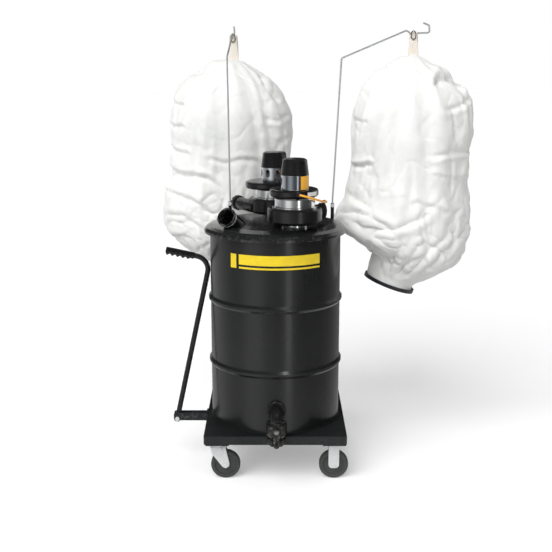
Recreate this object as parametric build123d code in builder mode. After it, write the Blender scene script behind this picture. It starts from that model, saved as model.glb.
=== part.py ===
"""Drum-top dust collector: a 55-gallon drum on a caster dolly, closed by a lid that
carries two bypass vacuum motors, a hose inlet and two rods that hold the filter bags.

Units are millimetres. The origin is on the floor, under the centre of the drum.
+Z is up, -Y is the side with the drain valve, -X is the side with the tow handle.
"""
from build123d import *
from math import cos, radians, sin
import os

# ---- driving dimensions ------------------------------------------------------------
# dolly
DECK_SIZE = 615
DECK_TOP = 212
SKIRT_HEIGHT = 39
SHEET = 3
PAD_BOTTOM = 167
PAD_SIZE = (100, 120)

# casters, 5 inch
WHEEL_RADIUS = 63.5
WHEEL_WIDTH = 32
WHEEL_X_RIGID = 254
KINGPIN_X = -250
TRAIL = 34
CASTER_Y = 245
AXLE_RADIUS = 6
FORK_GAP = 40
FORK_SHEET = 3.5
FORK_END = 50
PLATE_THICKNESS = 4
RUNNING_GAP = 0.05

# drum, 55 US gallons
DRUM_RADIUS = 286
DRUM_WALL = 1.5
DRUM_BOTTOM = DECK_TOP
DRUM_TOP = 1070
HOOP_LEVELS = (477, 761)
HOOP_HEIGHT = 9
HOOP_WIDTH = 34

# drain valve
VALVE_X = 5
NIPPLE_LEVEL = 323
PIPE_RADIUS = 26
PIPE_BORE = 17
DROP_Y = -352
VALVE_LEVEL = 269
BALL_VALVE_RADIUS = 25
STEM_RADIUS = 7

# tow handle
TOW_PIVOT = (-447, 0, 183)
TOW_TUBE_RADIUS = 11.5
TOW_CORNER = (-287, 0, 924)
TOW_END = (-478, 0, 964)
TOW_BEND_RADIUS = 60

# lid
LID_TOP = 1092
LID_SHEET = 2
LID_FLAT_RADIUS = 246
LID_RADIUS = 311

# vacuum motors
MOTORS = {"front": (82, -145, 18.6), "rear": (-4, 146, 121.5)}
NECK_RADIUS = 53
BASE_RADIUS = 116
BASE_BOTTOM = 1112
BASE_TOP = 1177
FAN_RADIUS = 86
FAN_TOP = 1222
DISC_RADIUS = 104
DISC_TOP = 1254
DISC_SHIFT = 27
DISC_SHIFT_TURN = 77
CAN_RADIUS = 58.5
CAN_TOP = 1315
CAP_TOP = 1382
SHAFT_RADIUS = 5
HORN_RADIUS = 28
HORN_BORE = 25
HORN_OFFSET = 96
HORN_REACH = 174
HORN_LEVEL = 1140
COLLAR_RADIUS = 34

# float valves
CAGE_RADIUS = 43
CAGE_BOTTOM = 988
BALL_RADIUS = 36
BALL_REST = CAGE_BOTTOM + 36.8

# motor lead
LEAD_RADIUS = 4.5
LEAD_ROUTE = [(89, -226.9, 1241.5), (123, -236, 1235), (163, -222, 1222), (195, -182, 1207),
              (213, -134, 1196), (220, -82, 1190), (219, -32, 1185), (212, 0, 1179)]

# hose inlet
INLET_MOUTH = (-207, -160, 1137)
INLET_RADIUS = 38
INLET_BORE = 34.5
INLET_LENGTH = 215
INLET_HEADING = 62
INLET_SLOPE = 30

# bag rods: socket x, socket y, arm heading, lean along the arm and across it,
# height of the elbow and of the low point where the bag hangs
RODS = {
    "right": dict(x=257, y=134, heading=20.3, lean=(31, -9), elbow=1789, hang=1896),
    "left": dict(x=-206, y=190, heading=87.8, lean=(0, 7), elbow=1795, hang=1886),
}
ROD_RADIUS = 4
SOCKET_RADIUS = 8
SOCKET_TOP = 1152
ARM_REACH = 335

# bags: sections from the neck down as height, centre x, half width and half depth
BAG_WALL = 2
RING_RADIUS = 121
RING_WALL = 12
RING_HALF = 8
BAGS = {
    "right": dict(
        y=250,
        sections=[
            (1800, 605, 48, 36),
            (1735, 610, 150, 125),
            (1650, 621, 240, 200),
            (1500, 622, 270, 230),
            (1250, 606, 264, 232),
            (1095, 583, 302, 238),
            (1000, 603, 277, 232),
            (900, 632, 196, 180),
        ],
        ring=(533, 250, 762),
        tilt=20,
    ),
    "left": dict(
        y=538,
        sections=[
            (1778, -225, 75, 56),
            (1725, -226, 150, 125),
            (1655, -232, 238, 196),
            (1500, -212, 290, 228),
            (1250, -216, 282, 228),
            (1100, -238, 304, 234),
            (1000, -230, 292, 230),
            (880, -190, 205, 180),
        ],
        ring=(-165, 536, 768),
        tilt=-14,
    ),
}

os.makedirs("parts", exist_ok=True)


def save(piece, label):
    """Name a finished piece and write it to its own STEP file."""
    piece.label = label
    export_step(piece, f"parts/{label}.step")


def ring(inner, outer, low, high, centre=(0, 0)):
    """A plain upright ring."""
    with BuildPart() as tube:
        with BuildSketch(Plane.XY.offset(low)):
            with Locations(centre):
                Circle(outer)
                if inner:
                    Circle(inner, mode=Mode.SUBTRACT)
        extrude(amount=high - low)
    return tube.part


def turned(outline, centre=(0, 0)):
    """A solid of revolution about an upright axis, from (radius, height) points."""
    with BuildPart() as body:
        with BuildSketch(Plane.XZ.offset(-centre[1])):
            with BuildLine():
                Polyline([(centre[0] + radius, height) for radius, height in outline], close=True)
            make_face()
        revolve(axis=Axis((centre[0], centre[1], 0), (0, 0, 1)))
    return body.part


def across_y(x, z, radius, y_low, y_high):
    """A rod along Y."""
    with BuildPart() as rod:
        with BuildSketch(Plane.XZ.offset(-y_low)):
            with Locations((x, z)):
                Circle(radius)
        extrude(amount=y_low - y_high)
    return rod.part


# ---- dolly ---------------------------------------------------------------------------
def make_dolly():
    """Folded tray with a hat-section pad under each corner for the casters."""
    with BuildPart() as tray:
        with BuildSketch(Plane.XY.offset(DECK_TOP - SKIRT_HEIGHT)):
            Rectangle(DECK_SIZE, DECK_SIZE)
        extrude(amount=SKIRT_HEIGHT)
        fillet(tray.edges().filter_by(Axis.Z), 9)
        fillet(tray.faces().sort_by(Axis.Z)[-1].edges(), 3)
        with BuildSketch(Plane.XY.offset(DECK_TOP - SKIRT_HEIGHT)):
            RectangleRounded(DECK_SIZE - 2 * SHEET, DECK_SIZE - 2 * SHEET, 6)
        extrude(amount=SKIRT_HEIGHT - SHEET, mode=Mode.SUBTRACT)
        with BuildSketch(Plane.XY.offset(PAD_BOTTOM)):
            with Locations(caster_places()):
                Rectangle(*PAD_SIZE)
        extrude(amount=DECK_TOP - SHEET - PAD_BOTTOM)
        with BuildSketch(Plane.XY.offset(PAD_BOTTOM + 6)):
            with Locations(caster_places()):
                Rectangle(PAD_SIZE[0] - 10, PAD_SIZE[1] - 1)
        extrude(amount=DECK_TOP - SHEET - PAD_BOTTOM - 6, mode=Mode.SUBTRACT)
        with BuildSketch(Plane.XY.offset(PAD_BOTTOM)):
            for x, y in bolt_places():
                with Locations((x, y)):
                    Circle(4)
        extrude(amount=6, mode=Mode.SUBTRACT)
    save(tray.part, "dolly_tray")


def caster_places():
    """Middle of each caster's top plate."""
    return [(x, y) for x in (KINGPIN_X, WHEEL_X_RIGID) for y in (-CASTER_Y, CASTER_Y)]


def bolt_places():
    """Centres of the sixteen caster bolts."""
    spots = []
    for x, y in caster_places():
        for dx in (-36, 36):
            for dy in (-34, 34):
                spots.append((x + dx, y + dy))
    return spots


def make_caster_bolts():
    """Hexagon bolts and nuts that hold the four casters."""
    with BuildPart() as bolts:
        with Locations([(x, y, PAD_BOTTOM - PLATE_THICKNESS) for x, y in bolt_places()]):
            Cylinder(4, 22, align=(Align.CENTER, Align.CENTER, Align.MIN))
        with BuildSketch(Plane.XY.offset(PAD_BOTTOM - PLATE_THICKNESS)):
            for x, y in bolt_places():
                with Locations((x, y)):
                    RegularPolygon(7.5, 6)
        extrude(amount=-5)
        with BuildSketch(Plane.XY.offset(PAD_BOTTOM + 6)):
            for x, y in bolt_places():
                with Locations((x, y)):
                    RegularPolygon(7.5, 6)
        extrude(amount=6)
    save(bolts.part, "caster_bolts")


# ---- casters -------------------------------------------------------------------------
def top_plate(x, y, kingpin_radius):
    """Caster top plate with its four bolt holes."""
    with BuildPart() as plate:
        with BuildSketch(Plane.XY.offset(PAD_BOTTOM - PLATE_THICKNESS)):
            with Locations((x, y)):
                RectangleRounded(94, 90, 6)
                with GridLocations(72, 68, 2, 2):
                    Circle(4, mode=Mode.SUBTRACT)
                if kingpin_radius:
                    Circle(kingpin_radius, mode=Mode.SUBTRACT)
        extrude(amount=PLATE_THICKNESS)
    return plate.part


def make_rigid_fork(y, label):
    """Rigid caster fork: plate, bridge and two straight legs with round ends."""
    x = WHEEL_X_RIGID
    leg = FORK_GAP / 2 + FORK_SHEET
    with BuildPart() as fork:
        add(top_plate(x, y, 0))
        with BuildSketch(Plane.XZ.offset(-y - leg)):
            with Locations((x, (PAD_BOTTOM + FORK_END) / 2)):
                RectangleRounded(46, PAD_BOTTOM - FORK_END, 16)
            with Locations((x, 140)):
                Rectangle(46, 2 * (PAD_BOTTOM - PLATE_THICKNESS - 140))
        extrude(amount=2 * leg)
        with BuildSketch(Plane.XZ.offset(-y - FORK_GAP / 2)):
            with Locations((x, 90)):
                Rectangle(60, 2 * (PAD_BOTTOM - PLATE_THICKNESS - FORK_SHEET - 90))
        extrude(amount=FORK_GAP, mode=Mode.SUBTRACT)
        with BuildSketch(Plane.XZ.offset(-y - leg)):
            with Locations((x, WHEEL_RADIUS)):
                Circle(AXLE_RADIUS)
        extrude(amount=2 * leg, mode=Mode.SUBTRACT)
    save(fork.part, label)


def make_swivel_plate(y, label):
    """Swivel caster top plate with the fixed race under it."""
    with BuildPart() as plate:
        add(top_plate(KINGPIN_X, y, 7))
        add(ring(7, 31, 147, PAD_BOTTOM - PLATE_THICKNESS, (KINGPIN_X, y)))
    save(plate.part, label)


def make_swivel_fork(y, label):
    """Swivel fork: round crown under the race and two legs that trail back to the axle."""
    axle_x = KINGPIN_X + TRAIL
    leg = FORK_GAP / 2 + FORK_SHEET
    with BuildPart() as fork:
        with BuildSketch(Plane.XZ.offset(-y - leg)):
            with BuildLine():
                Polyline(
                    (KINGPIN_X - 30, 146.7),
                    (KINGPIN_X + 34, 146.7),
                    (axle_x + 17, WHEEL_RADIUS + 6),
                    (axle_x + 14, WHEEL_RADIUS - 7),
                    (axle_x, WHEEL_RADIUS - 14),
                    (axle_x - 14, WHEEL_RADIUS - 7),
                    (KINGPIN_X - 26, 118),
                    close=True,
                )
            make_face()
        extrude(amount=2 * leg)
        with BuildSketch(Plane.XZ.offset(-y - FORK_GAP / 2)):
            with Locations((KINGPIN_X + 20, 70)):
                Rectangle(140, 2 * (139 - 70))
        extrude(amount=FORK_GAP, mode=Mode.SUBTRACT)
        with BuildSketch(Plane.XY.offset(139)):
            with Locations((KINGPIN_X, y)):
                Circle(34)
        extrude(amount=7.7)
        with BuildSketch(Plane.XY.offset(139)):
            with Locations((KINGPIN_X, y)):
                Circle(7 + RUNNING_GAP)
        extrude(amount=8, mode=Mode.SUBTRACT)
        with BuildSketch(Plane.XZ.offset(-y - leg)):
            with Locations((axle_x, WHEEL_RADIUS)):
                Circle(AXLE_RADIUS)
        extrude(amount=2 * leg, mode=Mode.SUBTRACT)
    save(fork.part, label)


def make_kingpins():
    """The two rivets that the swivel forks turn on."""
    with BuildPart() as pins:
        for y in (-CASTER_Y, CASTER_Y):
            add(turned([(0, 132), (9, 132), (12, 135), (12, 138.7), (7, 138.7), (7, PAD_BOTTOM), (0, PAD_BOTTOM)],
                       (KINGPIN_X, y)))
    save(pins.part, "kingpins")


def axle(x, y):
    """Axle bolt with its hexagon head in front and its nut behind."""
    outside = FORK_GAP / 2 + FORK_SHEET
    with BuildPart() as bolt:
        add(across_y(x, WHEEL_RADIUS, AXLE_RADIUS, y - outside - 6, y + outside + 8))
        for start in (y - outside - 6, y + outside):
            with BuildSketch(Plane.XZ.offset(-start)):
                with Locations((x, WHEEL_RADIUS)):
                    RegularPolygon(10.5, 6)
            extrude(amount=-6)
    return bolt.part


def make_wheel(x, y, label):
    """Hard rubber wheel with a raised hub, turning on the axle bolt."""
    half = WHEEL_WIDTH / 2
    outline = [
        (AXLE_RADIUS + RUNNING_GAP, -half - 2.5), (16, -half - 2.5), (18, -half + 5),
        (44, -half + 5), (47, -half), (WHEEL_RADIUS - 5, -half), (WHEEL_RADIUS, -half + 6),
        (WHEEL_RADIUS, half - 6), (WHEEL_RADIUS - 5, half), (47, half), (44, half - 5),
        (18, half - 5), (16, half + 2.5), (AXLE_RADIUS + RUNNING_GAP, half + 2.5),
    ]
    with BuildPart() as wheel:
        with BuildSketch(Plane.XY.offset(WHEEL_RADIUS)):
            with BuildLine():
                Polyline([(x + radius, y + along) for radius, along in outline], close=True)
            make_face()
        revolve(axis=Axis((x, y, WHEEL_RADIUS), (0, 1, 0)))
    save(wheel.part, label)


def make_casters():
    """Two swivel casters on the handle side, two rigid casters opposite."""
    for y, place in ((-CASTER_Y, "front"), (CASTER_Y, "rear")):
        make_rigid_fork(y, f"rigid_fork_{place}")
        make_swivel_plate(y, f"swivel_plate_{place}")
        make_swivel_fork(y, f"swivel_fork_{place}")
        save(axle(KINGPIN_X + TRAIL, y), f"swivel_axle_{place}")
        make_wheel(KINGPIN_X + TRAIL, y, f"swivel_wheel_{place}")
        make_wheel(WHEEL_X_RIGID, y, f"rigid_wheel_{place}")
    make_kingpins()
    with BuildPart() as axles:
        for y in (-CASTER_Y, CASTER_Y):
            add(axle(WHEEL_X_RIGID, y))
    save(axles.part, "rigid_axles")


# ---- drum ----------------------------------------------------------------------------
def drum_outline(radius, offset):
    """Half outline of the drum wall from bottom to top, moved in by offset."""
    points = [(radius - offset, DRUM_BOTTOM + 6)]
    for level in HOOP_LEVELS:
        points += [
            (radius - offset, level - HOOP_WIDTH / 2),
            (radius + HOOP_HEIGHT - offset, level - 5),
            (radius + HOOP_HEIGHT - offset, level + 5),
            (radius - offset, level + HOOP_WIDTH / 2),
        ]
    return points + [(radius - offset, DRUM_TOP - 12)]


def make_drum():
    """Open-head steel drum: wall with two rolling hoops, chimes and a recessed floor."""
    outer = drum_outline(DRUM_RADIUS, 0)
    inner = drum_outline(DRUM_RADIUS, DRUM_WALL)
    bead = DRUM_RADIUS + 6
    wall = (
        [(DRUM_RADIUS + 2, DRUM_BOTTOM), (DRUM_RADIUS + 2, DRUM_BOTTOM + 4)]
        + outer
        + [(bead, DRUM_TOP - 10), (bead, DRUM_TOP - 1), (bead - 2, DRUM_TOP),
           (DRUM_RADIUS, DRUM_TOP), (DRUM_RADIUS - 2, DRUM_TOP - 2)]
        + inner[::-1][:-1]
        + [(DRUM_RADIUS - DRUM_WALL, DRUM_BOTTOM + 12 + DRUM_WALL), (0, DRUM_BOTTOM + 12 + DRUM_WALL),
           (0, DRUM_BOTTOM + 12), (DRUM_RADIUS - 2 * DRUM_WALL, DRUM_BOTTOM + 12),
           (DRUM_RADIUS - 2 * DRUM_WALL, DRUM_BOTTOM)]
    )
    with BuildPart() as drum:
        add(turned(wall))
        with BuildSketch(Plane.XZ.offset(DRUM_RADIUS - 12)):
            with Locations((VALVE_X, NIPPLE_LEVEL)):
                Circle(PIPE_RADIUS)
        extrude(amount=20, mode=Mode.SUBTRACT)
    save(drum.part, "drum_shell")


# ---- drain valve ---------------------------------------------------------------------
def make_drain_elbow():
    """Elbow from the drum wall forward and down, with a bead at each end."""
    with BuildPart() as elbow:
        with BuildLine() as route:
            FilletPolyline(
                (VALVE_X, -DRUM_RADIUS + 14, NIPPLE_LEVEL),
                (VALVE_X, DROP_Y, NIPPLE_LEVEL),
                (VALVE_X, DROP_Y, VALVE_LEVEL + 27),
                radius=PIPE_RADIUS + 1,
            )
        with BuildSketch(Plane(route.line @ 0, z_dir=route.line % 0)):
            Circle(PIPE_RADIUS)
        sweep(path=route.line)
        with BuildSketch(Plane.XZ.offset(DRUM_RADIUS + 1)):
            with Locations((VALVE_X, NIPPLE_LEVEL)):
                Circle(PIPE_RADIUS + 14)
        extrude(amount=12)
        with BuildSketch(Plane(route.line @ 0, z_dir=route.line % 0)):
            Circle(PIPE_BORE)
        sweep(path=route.line, mode=Mode.SUBTRACT)
    save(elbow.part, "drain_elbow")


def make_valve_body():
    """Ball valve body: hexagon ends, round chamber and a stem boss on the front."""
    low = VALVE_LEVEL - 72
    high = VALVE_LEVEL + 27
    with BuildPart() as body:
        for start, end in ((low, low + 26), (high - 14, high)):
            with BuildSketch(Plane.XY.offset(start)):
                with Locations((VALVE_X, DROP_Y)):
                    RegularPolygon(41, 6)
            extrude(amount=end - start)
        add(turned([(0, low), (33, low), (33, low + 32), (44, low + 46), (44, high - 10),
                    (36, high - 2), (36, high), (0, high)], (VALVE_X, DROP_Y)))
        with BuildSketch(Plane.XZ.offset(-DROP_Y)):
            with Locations((VALVE_X, VALVE_LEVEL)):
                Circle(15)
        extrude(amount=48)
        with BuildSketch(Plane.XY.offset(low)):
            with Locations((VALVE_X, DROP_Y)):
                Circle(PIPE_BORE)
        extrude(amount=high - low, mode=Mode.SUBTRACT)
        with Locations((VALVE_X, DROP_Y, VALVE_LEVEL)):
            Sphere(BALL_VALVE_RADIUS + 0.3, mode=Mode.SUBTRACT)
        with BuildSketch(Plane.XZ.offset(-DROP_Y)):
            with Locations((VALVE_X, VALVE_LEVEL)):
                Circle(STEM_RADIUS + RUNNING_GAP)
        extrude(amount=60, mode=Mode.SUBTRACT)
    save(body.part, "valve_body")


def make_valve_works():
    """Ball, stem and lever: the lever hangs beside the pipe, so the valve is open."""
    with BuildPart() as ball:
        with Locations((VALVE_X, DROP_Y, VALVE_LEVEL)):
            Sphere(BALL_VALVE_RADIUS)
        with BuildSketch(Plane.XY.offset(VALVE_LEVEL - 30)):
            with Locations((VALVE_X, DROP_Y)):
                Circle(PIPE_BORE)
        extrude(amount=60, mode=Mode.SUBTRACT)
    save(ball.part, "valve_ball")

    with BuildPart() as stem:
        add(across_y(VALVE_X, VALVE_LEVEL, STEM_RADIUS, DROP_Y - 63, DROP_Y - BALL_VALVE_RADIUS + 3))
        with BuildSketch(Plane.XZ.offset(-DROP_Y + 53.5)):
            with Locations((VALVE_X, VALVE_LEVEL)):
                RegularPolygon(11, 6)
        extrude(amount=6)
        with Locations((VALVE_X, DROP_Y, VALVE_LEVEL)):
            Sphere(BALL_VALVE_RADIUS, mode=Mode.SUBTRACT)
    save(stem.part, "valve_stem")

    with BuildPart() as lever:
        with BuildSketch(Plane.XZ.offset(-DROP_Y + 49)):
            with Locations((VALVE_X, VALVE_LEVEL - 30)):
                SlotOverall(88, 26, rotation=90)
            with Locations((VALVE_X, VALVE_LEVEL)):
                Circle(STEM_RADIUS, mode=Mode.SUBTRACT)
            with Locations((VALVE_X, VALVE_LEVEL - 54)):
                SlotOverall(26, 11, rotation=90, mode=Mode.SUBTRACT)
        extrude(amount=4.5)
    save(lever.part, "valve_lever")


# ---- tow handle ----------------------------------------------------------------------
def make_tow_handle():
    """Tongue on the dolly, and the bent tube that tilts on it and rests on the drum."""
    x, _, z = TOW_PIVOT
    side = DECK_SIZE / 2
    cheek = TOW_TUBE_RADIUS + 2
    with BuildPart() as tongue:
        with BuildSketch(Plane.YZ.offset(-side - 6)):
            with Locations((0, DECK_TOP - SKIRT_HEIGHT / 2)):
                Rectangle(80, SKIRT_HEIGHT)
        extrude(amount=6)
        for low in (-cheek - 4, cheek):
            with BuildSketch(Plane.XZ.offset(-low)):
                with Locations(((x - 16 - side) / 2, DECK_TOP - 19)):
                    RectangleRounded(side - 16 - x - 2 * side + 32, 36, 9)
            extrude(amount=-4)
        add(across_y(x, z, AXLE_RADIUS, -cheek - 5, cheek + 5), mode=Mode.SUBTRACT)
    save(tongue.part, "tongue_bracket")

    with BuildPart() as pivot:
        add(across_y(x, z, AXLE_RADIUS, -cheek - 10, cheek + 12))
        for start in (-cheek - 10, cheek + 4):
            with BuildSketch(Plane.XZ.offset(-start)):
                with Locations((x, z)):
                    RegularPolygon(10.5, 6)
            extrude(amount=-6)
    save(pivot.part, "tow_pivot_bolt")

    foot = Vector(*TOW_PIVOT) - (Vector(*TOW_CORNER) - Vector(*TOW_PIVOT)).normalized() * 16
    with BuildPart() as tube:
        with BuildLine() as route:
            FilletPolyline(foot, TOW_CORNER, TOW_END, radius=TOW_BEND_RADIUS)
        with BuildSketch(Plane(route.line @ 0, z_dir=route.line % 0)):
            Circle(TOW_TUBE_RADIUS)
            Circle(TOW_TUBE_RADIUS - 2, mode=Mode.SUBTRACT)
        sweep(path=route.line)
        add(across_y(x, z, TOW_TUBE_RADIUS - 1, -TOW_TUBE_RADIUS, TOW_TUBE_RADIUS))
        add(across_y(x, z, AXLE_RADIUS + RUNNING_GAP, -20, 20), mode=Mode.SUBTRACT)
    save(tube.part, "tow_handle_tube")

    start = Vector(*TOW_END)
    along = (Vector(*TOW_CORNER) - start).normalized()
    with BuildPart() as grip:
        with BuildSketch(Plane(start - along * 4, z_dir=along)):
            Circle(TOW_TUBE_RADIUS + 3.5)
        extrude(amount=128)
        with BuildSketch(Plane(start, z_dir=along)):
            Circle(TOW_TUBE_RADIUS)
        extrude(amount=130, mode=Mode.SUBTRACT)
    save(grip.part, "tow_handle_grip")


# ---- lid -----------------------------------------------------------------------------
def inlet_plane(distance):
    """Plane across the inlet pipe, this far in from its mouth."""
    heading = radians(INLET_HEADING)
    slope = radians(INLET_SLOPE)
    inward = Vector(cos(slope) * cos(heading), cos(slope) * sin(heading), -sin(slope))
    sideways = (sin(heading), -cos(heading), 0)
    return Plane(Vector(*INLET_MOUTH) + inward * distance, x_dir=sideways, z_dir=inward)


def make_lid():
    """Pressed steel lid with a sloping shoulder, rolled rim and two rod sockets."""
    top = LID_TOP
    outer = [(0, top), (LID_FLAT_RADIUS, top), (284, top - 9), (302, top - 18), (LID_RADIUS, top - 30),
             (LID_RADIUS, top - 40), (0, top - 40)]
    hollow = [(0, top - LID_SHEET), (LID_FLAT_RADIUS, top - LID_SHEET), (283, top - 11), (300, top - 20),
              (LID_RADIUS - 3, top - 30), (LID_RADIUS - 3, top - 41), (0, top - 41)]
    with BuildPart() as lid:
        add(turned(outer))
        for rod in RODS.values():
            add(ring(0, SOCKET_RADIUS, top - 24, SOCKET_TOP, (rod["x"], rod["y"])))
        add(turned(hollow), mode=Mode.SUBTRACT)
        for rod in RODS.values():
            add(ring(0, ROD_RADIUS + RUNNING_GAP, top - 10, SOCKET_TOP + 1, (rod["x"], rod["y"])),
                mode=Mode.SUBTRACT)
            with BuildSketch(Plane.XZ.offset(-rod["y"] + SOCKET_RADIUS + 2)):
                with Locations((rod["x"], SOCKET_TOP - 8)):
                    Circle(2.5)
            extrude(amount=-SOCKET_RADIUS - 2, mode=Mode.SUBTRACT)
        for x, y, _ in MOTORS.values():
            add(ring(0, CAGE_RADIUS + 1, top - 10, top + 10, (x, y)), mode=Mode.SUBTRACT)
        with BuildSketch(inlet_plane(0)):
            Circle(INLET_RADIUS)
        extrude(amount=INLET_LENGTH, mode=Mode.SUBTRACT)
    save(lid.part, "lid_shell")

    seal = [(283, DRUM_TOP + 0.4), (300, DRUM_TOP + 0.4), (300, top - 20), (283, top - 11)]
    save(turned(seal), "lid_gasket")

    with BuildPart() as screws:
        for rod in RODS.values():
            head = rod["y"] - SOCKET_RADIUS - 5
            add(across_y(rod["x"], SOCKET_TOP - 8, 2.5, head, rod["y"] - ROD_RADIUS - 0.4))
            add(across_y(rod["x"], SOCKET_TOP - 8, 8, head - 7, head))
    save(screws.part, "rod_thumbscrews")


def make_inlet():
    """Sloping hose inlet with a beaded mouth, and the clamp that grips the hose end."""
    with BuildPart() as pipe:
        with BuildSketch(inlet_plane(0)):
            Circle(INLET_RADIUS)
        extrude(amount=INLET_LENGTH)
        with BuildSketch(inlet_plane(0)):
            Circle(INLET_RADIUS + 4)
        extrude(amount=7)
        with BuildSketch(inlet_plane(0)):
            Circle(INLET_BORE)
        extrude(amount=INLET_LENGTH, mode=Mode.SUBTRACT)
    save(pipe.part, "inlet_pipe")

    with BuildPart() as clamp:
        with BuildSketch(inlet_plane(8)):
            Circle(INLET_RADIUS + 2)
            with Locations((-INLET_RADIUS - 8, 0)):
                Rectangle(18, 12)
            Circle(INLET_RADIUS, mode=Mode.SUBTRACT)
        extrude(amount=11)
    save(clamp.part, "inlet_clamp")


# ---- vacuum motors -------------------------------------------------------------------
def horn_plane(x, y, heading, distance):
    """Plane across the exhaust horn, this far along it from the tangent point."""
    angle = radians(heading)
    along = Vector(cos(angle), sin(angle), 0)
    left = Vector(-sin(angle), cos(angle), 0)
    centre = Vector(x, y, HORN_LEVEL) + left * HORN_OFFSET + along * distance
    return Plane(centre, z_dir=along)


def make_motor_base(x, y, heading, label):
    """Moulded volute: ring chamber round the intake throat, with a tangential horn."""
    wall = 4
    shell = [
        (38, BASE_BOTTOM), (BASE_RADIUS - 14, BASE_BOTTOM), (BASE_RADIUS, BASE_BOTTOM + 12),
        (BASE_RADIUS, BASE_TOP - 6), (BASE_RADIUS - 6, BASE_TOP), (38, BASE_TOP),
    ]
    chamber = [
        (42, BASE_BOTTOM + wall), (BASE_RADIUS - 16, BASE_BOTTOM + wall),
        (BASE_RADIUS - wall, BASE_BOTTOM + 14), (BASE_RADIUS - wall, BASE_TOP - wall - 5),
        (BASE_RADIUS - 10, BASE_TOP - wall), (82, BASE_TOP - wall), (82, BASE_TOP + 1),
        (42, BASE_TOP + 1),
    ]
    with BuildPart() as base:
        add(turned(shell, (x, y)))
        with BuildSketch(horn_plane(x, y, heading, 0)):
            Circle(HORN_RADIUS)
        extrude(amount=HORN_REACH)
        add(turned(chamber, (x, y)), mode=Mode.SUBTRACT)
        with BuildSketch(horn_plane(x, y, heading, 20)):
            Circle(HORN_BORE)
        extrude(amount=HORN_REACH, mode=Mode.SUBTRACT)
    save(base.part, label)


def exhaust_collar(x, y, heading):
    """Fluted collar on the end of the exhaust horn."""
    with BuildPart() as collar:
        with BuildSketch(horn_plane(x, y, heading, HORN_REACH - 24)):
            Circle(COLLAR_RADIUS)
            with PolarLocations(COLLAR_RADIUS + 1, 12):
                Circle(4, mode=Mode.SUBTRACT)
            Circle(HORN_RADIUS, mode=Mode.SUBTRACT)
        extrude(amount=21)
    return collar.part


def make_fan_shell(x, y, label):
    """Spun fan housing with a flange at its foot and a hole for the shaft."""
    outline = [
        (BASE_RADIUS - 21, BASE_TOP), (BASE_RADIUS - 21, BASE_TOP + 6), (FAN_RADIUS, BASE_TOP + 6),
        (FAN_RADIUS, FAN_TOP - 6), (FAN_RADIUS - 6, FAN_TOP), (12, FAN_TOP), (12, FAN_TOP - 2),
        (FAN_RADIUS - 7, FAN_TOP - 2), (FAN_RADIUS - 2, FAN_TOP - 7), (FAN_RADIUS - 2, BASE_TOP),
    ]
    save(turned(outline, (x, y)), label)


def disc_centre(x, y, heading):
    """Centre of the cooling disc, which sits off the shaft towards the horn's side."""
    angle = radians(heading + DISC_SHIFT_TURN)
    return x + DISC_SHIFT * cos(angle), y + DISC_SHIFT * sin(angle)


def make_cooling_disc(x, y, heading, label):
    """Wide moulded disc over the fan housing, with the lower bearing seat in its hub."""
    low = FAN_TOP + 1
    outline = [
        (0, low + 3), (DISC_RADIUS - 10, low + 3), (DISC_RADIUS - 12, low), (DISC_RADIUS - 5, low),
        (DISC_RADIUS, low + 6), (DISC_RADIUS, DISC_TOP - 8), (DISC_RADIUS - 3, DISC_TOP - 3),
        (DISC_RADIUS - 9, DISC_TOP - 0.5), (DISC_RADIUS - 14, DISC_TOP), (0, DISC_TOP),
    ]
    with BuildPart() as disc:
        add(turned(outline, disc_centre(x, y, heading)))
        add(ring(0, 60, low - 2, low + 12, (x, y)), mode=Mode.SUBTRACT)
        add(ring(13, 22, low - 1, low + 14, (x, y)))
        add(ring(0, CAN_RADIUS - 4, low + 17, DISC_TOP + 1, (x, y)), mode=Mode.SUBTRACT)
        add(ring(0, 13, low - 2, DISC_TOP + 1, (x, y)), mode=Mode.SUBTRACT)
    save(disc.part, label)


def make_motor_can(x, y, label):
    """Drawn motor can with oval vents and the upper bearing seat in its top web."""
    outline = [
        (CAN_RADIUS - 2, DISC_TOP), (CAN_RADIUS, DISC_TOP), (CAN_RADIUS, CAN_TOP - 1),
        (11, CAN_TOP - 1), (11, CAN_TOP - 8), (15, CAN_TOP - 8), (15, CAN_TOP - 3),
        (CAN_RADIUS - 2, CAN_TOP - 3),
    ]
    with BuildPart() as can:
        add(turned(outline, (x, y)))
        for turn in range(15, 360, 45):
            side = Plane((x, y, CAN_TOP - 25), x_dir=(-sin(radians(turn)), cos(radians(turn)), 0),
                         z_dir=(cos(radians(turn)), sin(radians(turn)), 0))
            with BuildSketch(side.offset(CAN_RADIUS - 8)):
                SlotOverall(34, 19, rotation=90)
            extrude(amount=16, mode=Mode.SUBTRACT)
    save(can.part, label)


def make_motor_cap(x, y, label):
    """Tapered cap over the cooling fan."""
    outline = [
        (CAN_RADIUS - 3, CAN_TOP - 1), (CAN_RADIUS + 1, CAN_TOP - 1), (CAN_RADIUS - 6.5, CAP_TOP - 8),
        (CAN_RADIUS - 10, CAP_TOP - 2.5), (CAN_RADIUS - 16, CAP_TOP), (0, CAP_TOP), (0, CAP_TOP - 2.5),
        (CAN_RADIUS - 17, CAP_TOP - 2.5), (CAN_RADIUS - 10, CAP_TOP - 9),
    ]
    save(turned(outline, (x, y)), label)


def make_armature(x, y, label):
    """Shaft with its lamination stack, windings and commutator."""
    outline = [
        (0, 1180), (SHAFT_RADIUS, 1180), (SHAFT_RADIUS, 1246), (20, 1250), (22, 1262), (26, 1262),
        (26, 1290), (22, 1290), (20, 1297), (12, 1297), (12, 1305), (SHAFT_RADIUS, 1305),
        (SHAFT_RADIUS, 1350), (0, 1350),
    ]
    save(turned(outline, (x, y)), label)


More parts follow.
